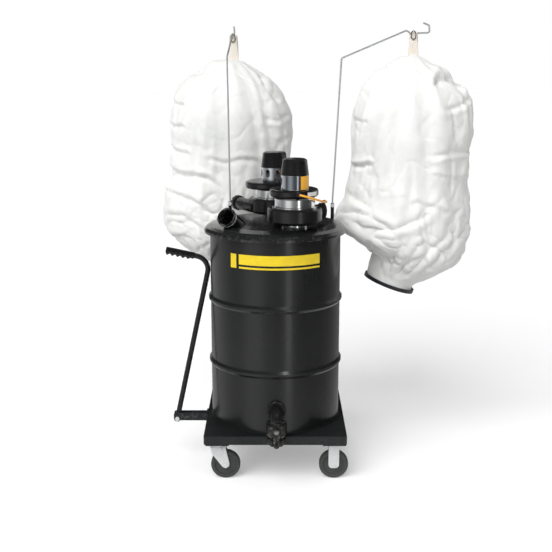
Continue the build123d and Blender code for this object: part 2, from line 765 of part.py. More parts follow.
def fan(x, y, radius, low, high):
    """Shrouded fan wheel: back plate, hub and six blades."""
    with BuildPart() as wheel:
        add(ring(SHAFT_RADIUS, radius, high - 2, high, (x, y)))
        add(ring(SHAFT_RADIUS, 12, low, high, (x, y)))
        with BuildSketch(Plane.XY.offset(low)):
            with Locations((x, y)):
                with PolarLocations(radius / 2 + 5, 6):
                    Rectangle(radius - 12, 2.5, rotation=24)
        extrude(amount=high - low)
        with BuildSketch(Plane.XY.offset(low)):
            with Locations((x, y)):
                Circle(radius + 40)
                Circle(radius, mode=Mode.SUBTRACT)
        extrude(amount=high - low, mode=Mode.SUBTRACT)
    return wheel.part


def make_fans(x, y, label):
    """The two suction stages and the cooling fan of one motor."""
    with BuildPart() as fans:
        add(fan(x, y, 76, 1184, 1199))
        add(fan(x, y, 76, 1202, 1217))
        add(fan(x, y, 44, CAN_TOP + 12, CAN_TOP + 27))
    save(fans.part, label)


def make_float_ball(x, y, label):
    """Hollow float that rises on liquid and closes the motor's intake."""
    with BuildPart() as ball:
        with Locations((x, y, BALL_REST)):
            Sphere(BALL_RADIUS)
            Sphere(BALL_RADIUS - 3, mode=Mode.SUBTRACT)
    save(ball.part, label)


def float_cage(x, y):
    """Cage under the lid with a seat ring at the top, four windows and a floor."""
    top = LID_TOP - LID_SHEET
    with BuildPart() as cage:
        add(ring(CAGE_RADIUS - 3, CAGE_RADIUS, CAGE_BOTTOM, top - 4, (x, y)))
        add(ring(28, CAGE_RADIUS + 9, top - 4, top, (x, y)))
        add(ring(14, CAGE_RADIUS, CAGE_BOTTOM, CAGE_BOTTOM + 3.5, (x, y)))
        for turn in (45, 135):
            with BuildSketch(Plane.XY.offset(CAGE_BOTTOM + 12)):
                with Locations((x, y)):
                    Rectangle(2 * CAGE_RADIUS + 20, 34, rotation=turn)
            extrude(amount=72, mode=Mode.SUBTRACT)
    return cage.part


def make_motors():
    """Both vacuum motors, with the pieces that they share as groups."""
    for place, (x, y, heading) in MOTORS.items():
        make_motor_base(x, y, heading, f"motor_base_{place}")
        make_fan_shell(x, y, f"fan_shell_{place}")
        make_cooling_disc(x, y, heading, f"cooling_disc_{place}")
        make_motor_can(x, y, f"motor_can_{place}")
        make_motor_cap(x, y, f"motor_cap_{place}")
        make_armature(x, y, f"armature_{place}")
        make_fans(x, y, f"fans_{place}")
        make_float_ball(x, y, f"float_ball_{place}")

    with BuildPart() as necks:
        for x, y, _ in MOTORS.values():
            add(ring(44, NECK_RADIUS, LID_TOP, BASE_BOTTOM, (x, y)))
    save(necks.part, "motor_neck_rings")

    with BuildPart() as cages:
        for x, y, _ in MOTORS.values():
            add(float_cage(x, y))
    save(cages.part, "float_cages")

    with BuildPart() as stators:
        for x, y, _ in MOTORS.values():
            add(ring(28, CAN_RADIUS - 2, 1262, 1290, (x, y)))
    save(stators.part, "stators")

    with BuildPart() as bearings:
        for x, y, _ in MOTORS.values():
            add(ring(SHAFT_RADIUS + 0.03, 13, 1226, 1235, (x, y)))
            add(ring(SHAFT_RADIUS + 0.03, 11, CAN_TOP - 9, CAN_TOP, (x, y)))
    save(bearings.part, "motor_bearings")

    with BuildPart() as collars:
        for x, y, heading in MOTORS.values():
            add(exhaust_collar(x, y, heading))
    save(collars.part, "exhaust_collars")


# ---- motor lead ----------------------------------------------------------------------
def make_lead():
    """Orange lead from the front motor's disc round to a gland on the exhaust collar."""
    points = [Vector(*point) for point in LEAD_ROUTE]
    radii = []
    for before, corner, after in zip(points, points[1:], points[2:]):
        first = corner - before
        second = after - corner
        turn = radians(first.get_angle(second))
        shorter = min(first.length, second.length)
        radii.append(0.45 * shorter / (sin(turn / 2) / cos(turn / 2)))
    print("lead radii", [round(radius, 1) for radius in radii])
    with BuildPart() as lead:
        with BuildLine() as route:
            FilletPolyline(*points, radius=radii)
        with BuildSketch(Plane(route.line @ 0, z_dir=route.line % 0)):
            Circle(LEAD_RADIUS)
        sweep(path=route.line)
    save(lead.part, "motor_lead")

    with BuildPart() as glands:
        for end, away in ((points[0], points[1]), (points[-1], points[-2])):
            along = (away - end).normalized()
            with BuildSketch(Plane(end - along, z_dir=along)):
                Circle(LEAD_RADIUS + 3)
            extrude(amount=13)
            with BuildSketch(Plane(end, z_dir=along)):
                Circle(LEAD_RADIUS)
            extrude(amount=14, mode=Mode.SUBTRACT)
        x, y, heading = MOTORS["front"]
        add(ring(0, DISC_RADIUS, FAN_TOP, DISC_TOP, disc_centre(x, y, heading)), mode=Mode.SUBTRACT)
        with BuildSketch(horn_plane(x, y, heading, HORN_REACH - 60)):
            Circle(COLLAR_RADIUS)
        extrude(amount=80, mode=Mode.SUBTRACT)
    save(glands.part, "lead_glands")


# ---- bag rods and bags ---------------------------------------------------------------
def rod_point(rod, along, across, height):
    """Point of a rod, from its distance along and across the arm's heading."""
    angle = radians(rod["heading"])
    x = rod["x"] + along * cos(angle) - across * sin(angle)
    y = rod["y"] + along * sin(angle) + across * cos(angle)
    return (x, y, height)


def hang_along(rod):
    """Distance along the arm of the low point that the bag hangs from."""
    return rod["lean"][0] + ARM_REACH


def make_rod(rod, label):
    """Bent rod: upright in its socket, sloping arm, low point for the bag and end hook."""
    lean, across = rod["lean"]
    hang = hang_along(rod)
    low = rod["hang"]
    points = [
        rod_point(rod, 0, 0, LID_TOP - 9.5),
        rod_point(rod, 0, 0, SOCKET_TOP + 6),
        rod_point(rod, lean, across, rod["elbow"]),
        rod_point(rod, hang - 22, across, low + 13),
        rod_point(rod, hang - 2, across, low),
        rod_point(rod, hang + 94, across, low + 4),
        rod_point(rod, hang + 91, across, low + 36),
        rod_point(rod, hang + 62, across, low + 46),
    ]
    with BuildPart() as bar:
        with BuildLine() as route:
            FilletPolyline(*points, radius=[40, 12, 14, 14, 10, 10])
        with BuildSketch(Plane(route.line @ 0, z_dir=route.line % 0)):
            Circle(ROD_RADIUS)
        sweep(path=route.line)
    save(bar.part, label)


def bag_loft(bag, shrink, neck_drop, mouth_drop):
    """Bag body as ruled ellipses from the neck down, ending in a short tilted sleeve."""
    angle = radians(bag["tilt"])
    up = Vector(sin(angle), 0, cos(angle))
    level = (cos(angle), 0, -sin(angle))
    mouth = Vector(*bag["ring"])
    with BuildPart() as body:
        for count, (z, x, half_width, half_depth) in enumerate(bag["sections"]):
            drop = neck_drop if count == 0 else 0
            with BuildSketch(Plane.XY.offset(z - drop)):
                with Locations((x, bag["y"])):
                    Ellipse(half_width - shrink, half_depth - shrink)
        for rise in (RING_HALF, -RING_HALF - mouth_drop):
            with BuildSketch(Plane(mouth + up * rise, x_dir=level, z_dir=up)):
                Ellipse(RING_RADIUS - RING_WALL - shrink, RING_RADIUS - RING_WALL - shrink)
        loft(ruled=True)
    return body.part


def make_bag(side):
    """Filter bag with its strap loop over the rod, and the stiff ring round its mouth."""
    bag = BAGS[side]
    rod = RODS[side]
    hang_x, hang_y, hang_z = rod_point(rod, hang_along(rod) + 12, rod["lean"][1], rod["hang"])
    neck = bag["sections"][0][0] - 12
    angle = radians(rod["heading"])
    frame = Plane((hang_x, hang_y, neck), x_dir=(cos(angle), sin(angle), 0), z_dir=(0, 0, 1))
    height = hang_z + 9.5 - neck
    with BuildPart() as body:
        add(bag_loft(bag, 0, 0, 0))
        add(bag_loft(bag, BAG_WALL, 20, 1), mode=Mode.SUBTRACT)
        with BuildSketch(frame):
            Rectangle(34, 18)
        extrude(amount=height)
        with BuildSketch(frame.offset(height - 44)):
            Rectangle(40, 13)
        extrude(amount=41, mode=Mode.SUBTRACT)
    save(body.part, f"bag_{side}")

    tilt = radians(bag["tilt"])
    normal = Vector(sin(tilt), 0, cos(tilt))
    with BuildPart() as hoop:
        with BuildSketch(Plane(Vector(*bag["ring"]) - normal * RING_HALF, z_dir=normal)):
            Circle(RING_RADIUS)
            Circle(RING_RADIUS - RING_WALL, mode=Mode.SUBTRACT)
        extrude(amount=2 * RING_HALF)
    save(hoop.part, f"bag_ring_{side}")


make_dolly()
make_caster_bolts()
make_casters()
make_drum()
make_drain_elbow()
make_valve_body()
make_valve_works()
make_tow_handle()
make_lid()
make_inlet()
make_motors()
make_lead()
for side, rod in RODS.items():
    make_rod(rod, f"bag_rod_{side}")
    make_bag(side)
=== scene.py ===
import math

import bmesh
import bpy
import numpy as np
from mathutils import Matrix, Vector, noise


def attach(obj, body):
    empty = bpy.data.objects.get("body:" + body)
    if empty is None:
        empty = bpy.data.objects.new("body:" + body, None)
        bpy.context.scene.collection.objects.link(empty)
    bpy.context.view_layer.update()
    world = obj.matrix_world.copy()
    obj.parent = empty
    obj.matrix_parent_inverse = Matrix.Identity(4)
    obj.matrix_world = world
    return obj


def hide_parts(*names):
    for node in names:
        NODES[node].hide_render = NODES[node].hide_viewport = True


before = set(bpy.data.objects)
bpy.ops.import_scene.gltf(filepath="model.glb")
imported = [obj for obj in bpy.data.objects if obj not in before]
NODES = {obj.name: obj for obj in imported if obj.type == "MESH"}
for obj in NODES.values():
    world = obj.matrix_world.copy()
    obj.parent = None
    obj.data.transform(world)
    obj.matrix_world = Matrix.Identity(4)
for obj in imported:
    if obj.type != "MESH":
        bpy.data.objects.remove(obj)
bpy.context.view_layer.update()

# ---- camera --------------------------------------------------------------------------
CAMERA_PLACE = (0.0031, -4.354, 1.821)
CAMERA_DIP = 12.62
SENSOR_WIDTH = 36.0
FOCAL_LENGTH = 65.6
FAR_LIMIT = 60.0

camera_data = bpy.data.cameras.new("camera")
camera = bpy.data.objects.new("camera", camera_data)
bpy.context.collection.objects.link(camera)
camera_data.sensor_width = SENSOR_WIDTH
camera_data.lens = FOCAL_LENGTH
camera_data.clip_end = FAR_LIMIT
camera.location = CAMERA_PLACE
camera.rotation_euler = (math.radians(90 - CAMERA_DIP), 0.0, 0.0)
bpy.context.scene.camera = camera


# ---- materials -----------------------------------------------------------------------
def new_material(name):
    """A fresh node material, its shader and its node tree."""
    material = bpy.data.materials.new(name)
    material.use_nodes = True
    tree = material.node_tree
    return material, tree.nodes["Principled BSDF"], tree


def object_coordinates(tree, scale=(1, 1, 1)):
    """Object coordinates, stretched by scale."""
    coordinates = tree.nodes.new("ShaderNodeTexCoord")
    mapping = tree.nodes.new("ShaderNodeMapping")
    mapping.inputs["Scale"].default_value = scale
    tree.links.new(coordinates.outputs["Object"], mapping.inputs["Vector"])
    return mapping.outputs["Vector"]


def noise_node(tree, vector, scale, detail=3.0, roughness=0.55):
    """A noise texture's grey output."""
    texture = tree.nodes.new("ShaderNodeTexNoise")
    texture.inputs["Scale"].default_value = scale
    texture.inputs["Detail"].default_value = detail
    texture.inputs["Roughness"].default_value = roughness
    tree.links.new(vector, texture.inputs["Vector"])
    return texture.outputs["Fac"]


def ramp(tree, value, stops):
    """A colour ramp from (position, colour) stops."""
    node = tree.nodes.new("ShaderNodeValToRGB")
    node.color_ramp.elements[0].position = stops[0][0]
    node.color_ramp.elements[0].color = (*stops[0][1], 1)
    node.color_ramp.elements[1].position = stops[-1][0]
    node.color_ramp.elements[1].color = (*stops[-1][1], 1)
    for position, colour in stops[1:-1]:
        node.color_ramp.elements.new(position).color = (*colour, 1)
    tree.links.new(value, node.inputs["Fac"])
    return node.outputs["Color"]


def map_range(tree, value, low, high, new_low, new_high):
    """A value moved from one range to another."""
    node = tree.nodes.new("ShaderNodeMapRange")
    node.inputs["From Min"].default_value = low
    node.inputs["From Max"].default_value = high
    node.inputs["To Min"].default_value = new_low
    node.inputs["To Max"].default_value = new_high
    tree.links.new(value, node.inputs["Value"])
    return node.outputs["Result"]


def bump(tree, shader, height, strength, distance, under=None):
    """Bump on the shader's normal, laid over an earlier bump if there is one."""
    node = tree.nodes.new("ShaderNodeBump")
    node.inputs["Strength"].default_value = strength
    node.inputs["Distance"].default_value = distance
    tree.links.new(height, node.inputs["Height"])
    if under is not None:
        tree.links.new(under, node.inputs["Normal"])
    tree.links.new(node.outputs["Normal"], shader.inputs["Normal"])
    return node.outputs["Normal"]


def painted(name, dark, light, rough, coat=0.0, grain=420.0, wear=None):
    """Paint with faint colour drift, orange-peel bump and, if given, worn edges."""
    material, shader, tree = new_material(name)
    vector = object_coordinates(tree)
    drift = noise_node(tree, vector, 3.5, 5.0)
    colour = ramp(tree, drift, [(0.35, dark), (0.7, light)])
    if wear is not None:
        geometry = tree.nodes.new("ShaderNodeNewGeometry")
        scratch = noise_node(tree, vector, 60.0, 6.0, 0.7)
        edge = map_range(tree, geometry.outputs["Pointiness"], 0.53, 0.6, 0.0, 1.0)
        both = tree.nodes.new("ShaderNodeMath")
        both.operation = "MULTIPLY"
        tree.links.new(edge, both.inputs[0])
        tree.links.new(map_range(tree, scratch, 0.5, 0.62, 0.0, 1.0), both.inputs[1])
        mix = tree.nodes.new("ShaderNodeMix")
        mix.data_type = "RGBA"
        tree.links.new(both.outputs[0], mix.inputs["Factor"])
        tree.links.new(colour, mix.inputs[6])
        mix.inputs[7].default_value = (*wear, 1)
        colour = mix.outputs[2]
    tree.links.new(colour, shader.inputs["Base Color"])
    smear = noise_node(tree, object_coordinates(tree, (1, 1, 0.25)), 14.0, 4.0)
    tree.links.new(map_range(tree, smear, 0.3, 0.7, rough - 0.05, rough + 0.08), shader.inputs["Roughness"])
    shader.inputs["Coat Weight"].default_value = coat
    shader.inputs["Coat Roughness"].default_value = 0.12
    bump(tree, shader, noise_node(tree, vector, grain, 2.0), 0.12, 0.0006)
    return material


def metal(name, colour, rough, brushed=(1, 1, 1), spangle=0.0, metallic=1.0):
    """Bare or plated metal with fine brushing along one direction."""
    material, shader, tree = new_material(name)
    shader.inputs["Metallic"].default_value = metallic
    vector = object_coordinates(tree, brushed)
    lines = noise_node(tree, vector, 150.0, 3.0, 0.5)
    low = tuple(0.9 * part for part in colour)
    tree.links.new(ramp(tree, lines, [(0.3, low), (0.72, colour)]), shader.inputs["Base Color"])
    tree.links.new(map_range(tree, lines, 0.3, 0.7, rough - 0.03, rough + 0.05), shader.inputs["Roughness"])
    normal = bump(tree, shader, lines, 0.04, 0.0003)
    if spangle:
        cells = tree.nodes.new("ShaderNodeTexVoronoi")
        cells.inputs["Scale"].default_value = 160.0
        tree.links.new(object_coordinates(tree), cells.inputs["Vector"])
        bump(tree, shader, cells.outputs["Distance"], spangle, 0.0004, normal)
    return material


def moulded(name, dark, light, rough, grain=900.0, strength=0.15):
    """Moulded plastic or rubber with a fine grain and slightly dusty patches."""
    material, shader, tree = new_material(name)
    vector = object_coordinates(tree)
    dust = noise_node(tree, vector, 9.0, 6.0, 0.6)
    tree.links.new(ramp(tree, dust, [(0.35, dark), (0.72, light)]), shader.inputs["Base Color"])
    tree.links.new(map_range(tree, dust, 0.3, 0.7, rough - 0.05, rough + 0.08), shader.inputs["Roughness"])
    bump(tree, shader, noise_node(tree, vector, grain, 2.0), strength, 0.0004)
    return material


def cloth(name, low, high, thread=1100.0, wrinkle=0.0):
    """Woven cloth: two crossed sets of threads, soft sheen and faint soiling."""
    material, shader, tree = new_material(name)
    vector = object_coordinates(tree)
    soil = noise_node(tree, vector, 5.0, 6.0, 0.6)
    tree.links.new(ramp(tree, soil, [(0.3, low), (0.62, high)]), shader.inputs["Base Color"])
    shader.inputs["Roughness"].default_value = 0.82
    shader.inputs["Sheen Weight"].default_value = 0.25
    shader.inputs["Sheen Roughness"].default_value = 0.5
    shader.inputs["Specular IOR Level"].default_value = 0.25
    threads = []
    for direction in ("X", "Z"):
        wave = tree.nodes.new("ShaderNodeTexWave")
        wave.bands_direction = direction
        wave.inputs["Scale"].default_value = thread / 6.283
        wave.inputs["Distortion"].default_value = 0.6
        tree.links.new(vector, wave.inputs["Vector"])
        threads.append(wave.outputs["Fac"])
    weave = tree.nodes.new("ShaderNodeMath")
    weave.operation = "MAXIMUM"
    tree.links.new(threads[0], weave.inputs[0])
    tree.links.new(threads[1], weave.inputs[1])
    normal = bump(tree, shader, weave.outputs[0], 0.18, 0.0003)
    if wrinkle:
        folds = noise_node(tree, object_coordinates(tree, (1, 1, 1.8)), 16.0, 5.0, 0.5)
        bump(tree, shader, folds, wrinkle, 0.006, normal)
    return material


def flat_colour(name, colour, shade, rough):
    """Printed or dipped colour with a little unevenness."""
    material, shader, tree = new_material(name)
    vector = object_coordinates(tree)
    patch = noise_node(tree, vector, 30.0, 4.0)
    tree.links.new(ramp(tree, patch, [(0.35, shade), (0.65, colour)]), shader.inputs["Base Color"])
    shader.inputs["Roughness"].default_value = rough
    bump(tree, shader, noise_node(tree, vector, 500.0, 2.0), 0.06, 0.0003)
    return material


DRUM_PAINT = painted("drum_paint", (0.0075, 0.0085, 0.008), (0.011, 0.0125, 0.0115), 0.3, coat=0.25)
LID_PAINT = painted("lid_paint", (0.007, 0.0075, 0.008), (0.011, 0.0115, 0.0115), 0.22, coat=0.25,
                    wear=(0.08, 0.08, 0.08))
DOLLY_PAINT = painted("dolly_paint", (0.009, 0.0105, 0.0112), (0.0155, 0.017, 0.018), 0.42,
                      wear=(0.07, 0.07, 0.075))
TUBE_PAINT = painted("tube_paint", (0.009, 0.01, 0.012), (0.016, 0.017, 0.02), 0.38,
                     wear=(0.09, 0.09, 0.09))
VALVE_PAINT = painted("valve_paint", (0.006, 0.0065, 0.0065), (0.012, 0.012, 0.012), 0.36, grain=260.0,
                      wear=(0.16, 0.15, 0.13))
ZINC = metal("zinc_plate", (0.92, 0.93, 0.94), 0.36, spangle=0.12, metallic=0.45)
ROD_METAL = metal("rod_metal", (0.66, 0.68, 0.69), 0.33, brushed=(1, 1, 0.2), metallic=0.55)
SPUN = metal("spun_aluminium", (0.86, 0.87, 0.88), 0.16, brushed=(0.2, 0.2, 5))
CAN_METAL = metal("can_metal", (0.74, 0.77, 0.8), 0.22, brushed=(0.2, 0.2, 5))
LAMINATED = metal("laminated_steel", (0.1, 0.1, 0.11), 0.45, brushed=(0.1, 0.1, 6), metallic=0.6)
STEEL = metal("plain_steel", (0.5, 0.5, 0.5), 0.4)
CLIP_WIRE = metal("clip_wire", (0.2, 0.19, 0.18), 0.42)
COPPER = metal("winding_copper", (0.62, 0.3, 0.16), 0.42, brushed=(6, 6, 1))
BLACK_MOULD = moulded("black_moulding", (0.008, 0.008, 0.0085), (0.016, 0.016, 0.016), 0.42)
SEMI_GLOSS = moulded("semi_gloss_moulding", (0.007, 0.007, 0.0075), (0.013, 0.013, 0.0135), 0.24,
                     600.0, 0.06)
# metal much darker than the can: this dark tone is painted reflection, standing in for the dark band the dim
# room throws on the can
DARK_REFLECTION_PLATE_METAL = metal("plate_metal_painted_dark_reflection", (0.3, 0.33, 0.37), 0.16, brushed=(0.2, 0.2, 5))
GLOSS_MOULD = moulded("gloss_moulding", (0.006, 0.006, 0.007), (0.01, 0.01, 0.011), 0.13, 300.0, 0.04)
RUBBER = moulded("black_rubber", (0.007, 0.007, 0.007), (0.013, 0.013, 0.013), 0.5, 700.0, 0.25)
WHEEL_RUBBER = moulded("wheel_rubber", (0.045, 0.048, 0.046), (0.07, 0.073, 0.07), 0.6, 500.0, 0.2)
RING_PAINT = painted("ring_paint", (0.012, 0.014, 0.02), (0.02, 0.023, 0.03), 0.4)
BAG_CLOTH = cloth("bag_cloth", (0.80, 0.81, 0.78), (0.88, 0.88, 0.87), wrinkle=0.35)
STRAP_CLOTH = cloth("strap_cloth", (0.78, 0.71, 0.62), (0.86, 0.81, 0.74), thread=2200.0)
ORANGE = flat_colour("orange_sheath", (0.95, 0.45, 0.05), (0.86, 0.37, 0.03), 0.4)
LABEL_ORANGE = flat_colour("label_orange", (0.97, 0.5, 0.05), (0.93, 0.45, 0.04), 0.42)
# plain white for the patch on the front cooling disc
WHITE_DISC_PATCH = flat_colour("white_disc_patch", (0.86, 0.86, 0.84), (0.8, 0.8, 0.78), 0.42)
LABEL_YELLOW = flat_colour("label_yellow", (0.88, 0.66, 0.02), (0.82, 0.6, 0.02), 0.4)
CAGE_PLASTIC = moulded("cage_plastic", (0.62, 0.62, 0.58), (0.72, 0.72, 0.68), 0.45)

NODE_MATERIALS = {
    DOLLY_PAINT: ["dolly_tray", "tongue_bracket"],
    ZINC: ["caster_bolts", "rigid_fork_front", "rigid_fork_rear", "swivel_plate_front", "swivel_plate_rear",
           "swivel_fork_front", "swivel_fork_rear", "kingpins", "rigid_axles", "swivel_axle_front",
           "swivel_axle_rear", "tow_pivot_bolt", "rod_thumbscrews", "inlet_clamp"],
    WHEEL_RUBBER: ["swivel_wheel_front", "swivel_wheel_rear", "rigid_wheel_front", "rigid_wheel_rear"],
    DRUM_PAINT: ["drum_shell"],
    VALVE_PAINT: ["drain_elbow", "valve_body", "valve_lever"],
    STEEL: ["valve_ball", "valve_stem", "motor_bearings"],
    LAMINATED: ["stators"],
    TUBE_PAINT: ["tow_handle_tube"],
    RUBBER: ["tow_handle_grip", "lid_gasket"],
    LID_PAINT: ["lid_shell", "inlet_pipe"],
    SPUN: ["motor_neck_rings", "fan_shell_front", "fan_shell_rear", "fans_front", "fans_rear"],
    CAGE_PLASTIC: ["float_cages", "float_ball_front", "float_ball_rear"],
    SEMI_GLOSS: ["motor_base_front", "motor_base_rear", "motor_cap_front", "motor_cap_rear"],
    BLACK_MOULD: ["exhaust_collars", "lead_glands"],
    GLOSS_MOULD: ["cooling_disc_front", "cooling_disc_rear"],
    CAN_METAL: ["motor_can_front", "motor_can_rear"],
    COPPER: ["armature_front", "armature_rear"],
    ORANGE: ["motor_lead"],
    ROD_METAL: ["bag_rod_right", "bag_rod_left"],
    RING_PAINT: ["bag_ring_right", "bag_ring_left"],
    BAG_CLOTH: ["bag_right", "bag_left"],
}
for material, names in NODE_MATERIALS.items():
    for name in names:
        NODES[name].data.materials.clear()
        NODES[name].data.materials.append(material)


# ---- mesh helpers --------------------------------------------------------------------
SHARP_ANGLE = 32


def mesh_object(name, vertices, faces, material):
    """A new smooth mesh object with one material."""
    mesh = bpy.data.meshes.new(name)
    mesh.from_pydata([tuple(vertex) for vertex in vertices], [], faces)
    mesh.update()
    mesh.materials.append(material)
    mesh.polygons.foreach_set("use_smooth", [True] * len(mesh.polygons))
    piece = bpy.data.objects.new(name, mesh)
    bpy.context.collection.objects.link(piece)
    return piece


def grid_faces(rows, columns):
    """Quads over a grid of rows by columns that wraps round its columns."""
    faces = []
    for row in range(rows - 1):
        after = row + 1
        for column in range(columns):
            beside = (column + 1) % columns
            faces.append((row * columns + column, row * columns + beside,
                          after * columns + beside, after * columns + column))
    return faces


def weld_and_face_out(piece):
    """Merges points at the same place and turns every face outwards."""
    shape = bmesh.new()
    shape.from_mesh(piece.data)
    bmesh.ops.remove_doubles(shape, verts=shape.verts, dist=1e-6)
    bmesh.ops.dissolve_degenerate(shape, edges=shape.edges, dist=1e-7)
    bmesh.ops.recalc_face_normals(shape, faces=shape.faces)
    shape.to_mesh(piece.data)
    shape.free()
    sharpen(piece)


def sharpen(piece):
    """Smooth shading that breaks at edges sharper than SHARP_ANGLE."""
    piece.data.polygons.foreach_set("use_smooth", [True] * len(piece.data.polygons))
    piece.data.set_sharp_from_angle(angle=math.radians(SHARP_ANGLE))


def apply_modifiers(piece):
    """Turns a piece's modifiers into plain mesh."""
    graph = bpy.context.evaluated_depsgraph_get()
    graph.update()
    mesh = bpy.data.meshes.new_from_object(piece.evaluated_get(graph), depsgraph=graph)
    piece.modifiers.clear()
    piece.data = mesh


def catmull(values, position):
    """Smooth value between the entries of a list of vectors."""
    index = min(int(position), len(values) - 2)
    t = position - index
    a = values[max(index - 1, 0)]
    b = values[index]
    c = values[index + 1]
    d = values[min(index + 2, len(values) - 1)]
    return 0.5 * (2 * b + (c - a) * t + (2 * a - 5 * b + 4 * c - d) * t * t
                  + (3 * b - a - 3 * c + d) * t ** 3)


# ---- filter bags ---------------------------------------------------------------------
# y is the depth of the bag's middle; rows go from the neck down, as height, left edge, right edge,
# half depth and tilt in degrees; ring is the middle of the mouth ring and tilt its lean; body is
# the swinging arm; strap is its x and y, the bag's top and the level of the rod it hangs on
BAGS = {
    "right": dict(
        y=0.25,
        rows=[
            (1.800, 0.600, 0.628, 0.014, 0), (1.796, 0.580, 0.642, 0.032, 0),
            (1.786, 0.546, 0.657, 0.058, 0), (1.769, 0.520, 0.684, 0.084, 0),
            (1.752, 0.493, 0.712, 0.106, 0), (1.736, 0.465, 0.750, 0.126, 0),
            (1.720, 0.438, 0.782, 0.144, 0), (1.699, 0.413, 0.801, 0.162, 0),
            (1.676, 0.394, 0.820, 0.176, 0), (1.658, 0.386, 0.852, 0.188, 0),
            (1.636, 0.378, 0.876, 0.202, 0), (1.605, 0.367, 0.889, 0.214, 0),
            (1.560, 0.356, 0.895, 0.224, 0),
            (1.480, 0.350, 0.893, 0.231, 0), (1.400, 0.352, 0.878, 0.229, 0),
            (1.320, 0.353, 0.878, 0.230, 0), (1.250, 0.342, 0.871, 0.232, 0),
            (1.190, 0.328, 0.881, 0.234, 0), (1.140, 0.302, 0.885, 0.236, 0),
            (1.095, 0.277, 0.886, 0.236, 0), (1.045, 0.290, 0.885, 0.233, 2),
            (0.995, 0.330, 0.880, 0.226, 4), (0.950, 0.381, 0.868, 0.210, 7),
            (0.905, 0.430, 0.832, 0.184, 11), (0.862, 0.446, 0.770, 0.156, 15),
        ],
        ring=(0.533, 0.25, 0.762),
        tilt=20,
        body="bag_arm_right",
        strap=(0.6146, 0.2567, 1.795, 1.8969),
    ),
    "left": dict(
        y=0.538,
        rows=[
            (1.776, -0.262, -0.200, 0.016, 0), (1.773, -0.286, -0.172, 0.038, 0),
            (1.765, -0.318, -0.150, 0.062, 0), (1.752, -0.342, -0.130, 0.088, 0),
            (1.736, -0.357, -0.106, 0.112, 0), (1.712, -0.366, -0.052, 0.138, 0),
            (1.696, -0.408, -0.032, 0.154, 0), (1.676, -0.450, -0.010, 0.170, 0),
            (1.648, -0.474, 0.014, 0.188, 0), (1.600, -0.490, 0.047, 0.208, 0),
            (1.545, -0.500, 0.073, 0.222, 0),
            (1.460, -0.500, 0.082, 0.228, 0), (1.390, -0.497, 0.078, 0.227, 0),
            (1.320, -0.501, 0.070, 0.226, 0), (1.250, -0.496, 0.064, 0.227, 0),
            (1.195, -0.522, 0.066, 0.230, 0), (1.145, -0.534, 0.066, 0.232, 0),
            (1.095, -0.542, 0.064, 0.232, 0), (1.040, -0.540, 0.062, 0.230, -2),
            (0.990, -0.520, 0.060, 0.222, -3), (0.940, -0.466, 0.046, 0.206, -5),
            (0.895, -0.400, 0.016, 0.184, -8), (0.852, -0.346, -0.020, 0.156, -11),
        ],
        ring=(-0.165, 0.536, 0.768),
        tilt=-14,
        body="bag_arm_left",
        strap=(-0.1997, 0.5370, 1.762, 1.8869),
    ),
}
RING_RADIUS = 0.109
RING_FLARE = 0.004
RING_RISES = (0.030, 0.009, -0.008)
BAG_COLUMNS = 144
BAG_ROWS = 120
LEAST_RADIUS = 0.012
FADE_ROWS = 8
RIPPLE_HEIGHT = 0.012
HELD_TOP_ROWS = 2
HELD_LOWER_ROWS = 4
CLOTH_STEPS = 24
WRINKLE_LIMIT = 0.008
CLOTH_THICKNESS = 0.0016
# rings inside a bag's top edge: share of its width, and rise
TOP_RINGS = ((0.85, 0.0012), (0.55, 0.0026), (0.15, 0.0034))
# height of the creases: everywhere, and more on the lower part
BROAD_CREASE = (0.0030, 0.0060)
FINE_CREASE = (0.0012, 0.0034)
CREASE_MIDDLE = 0.004

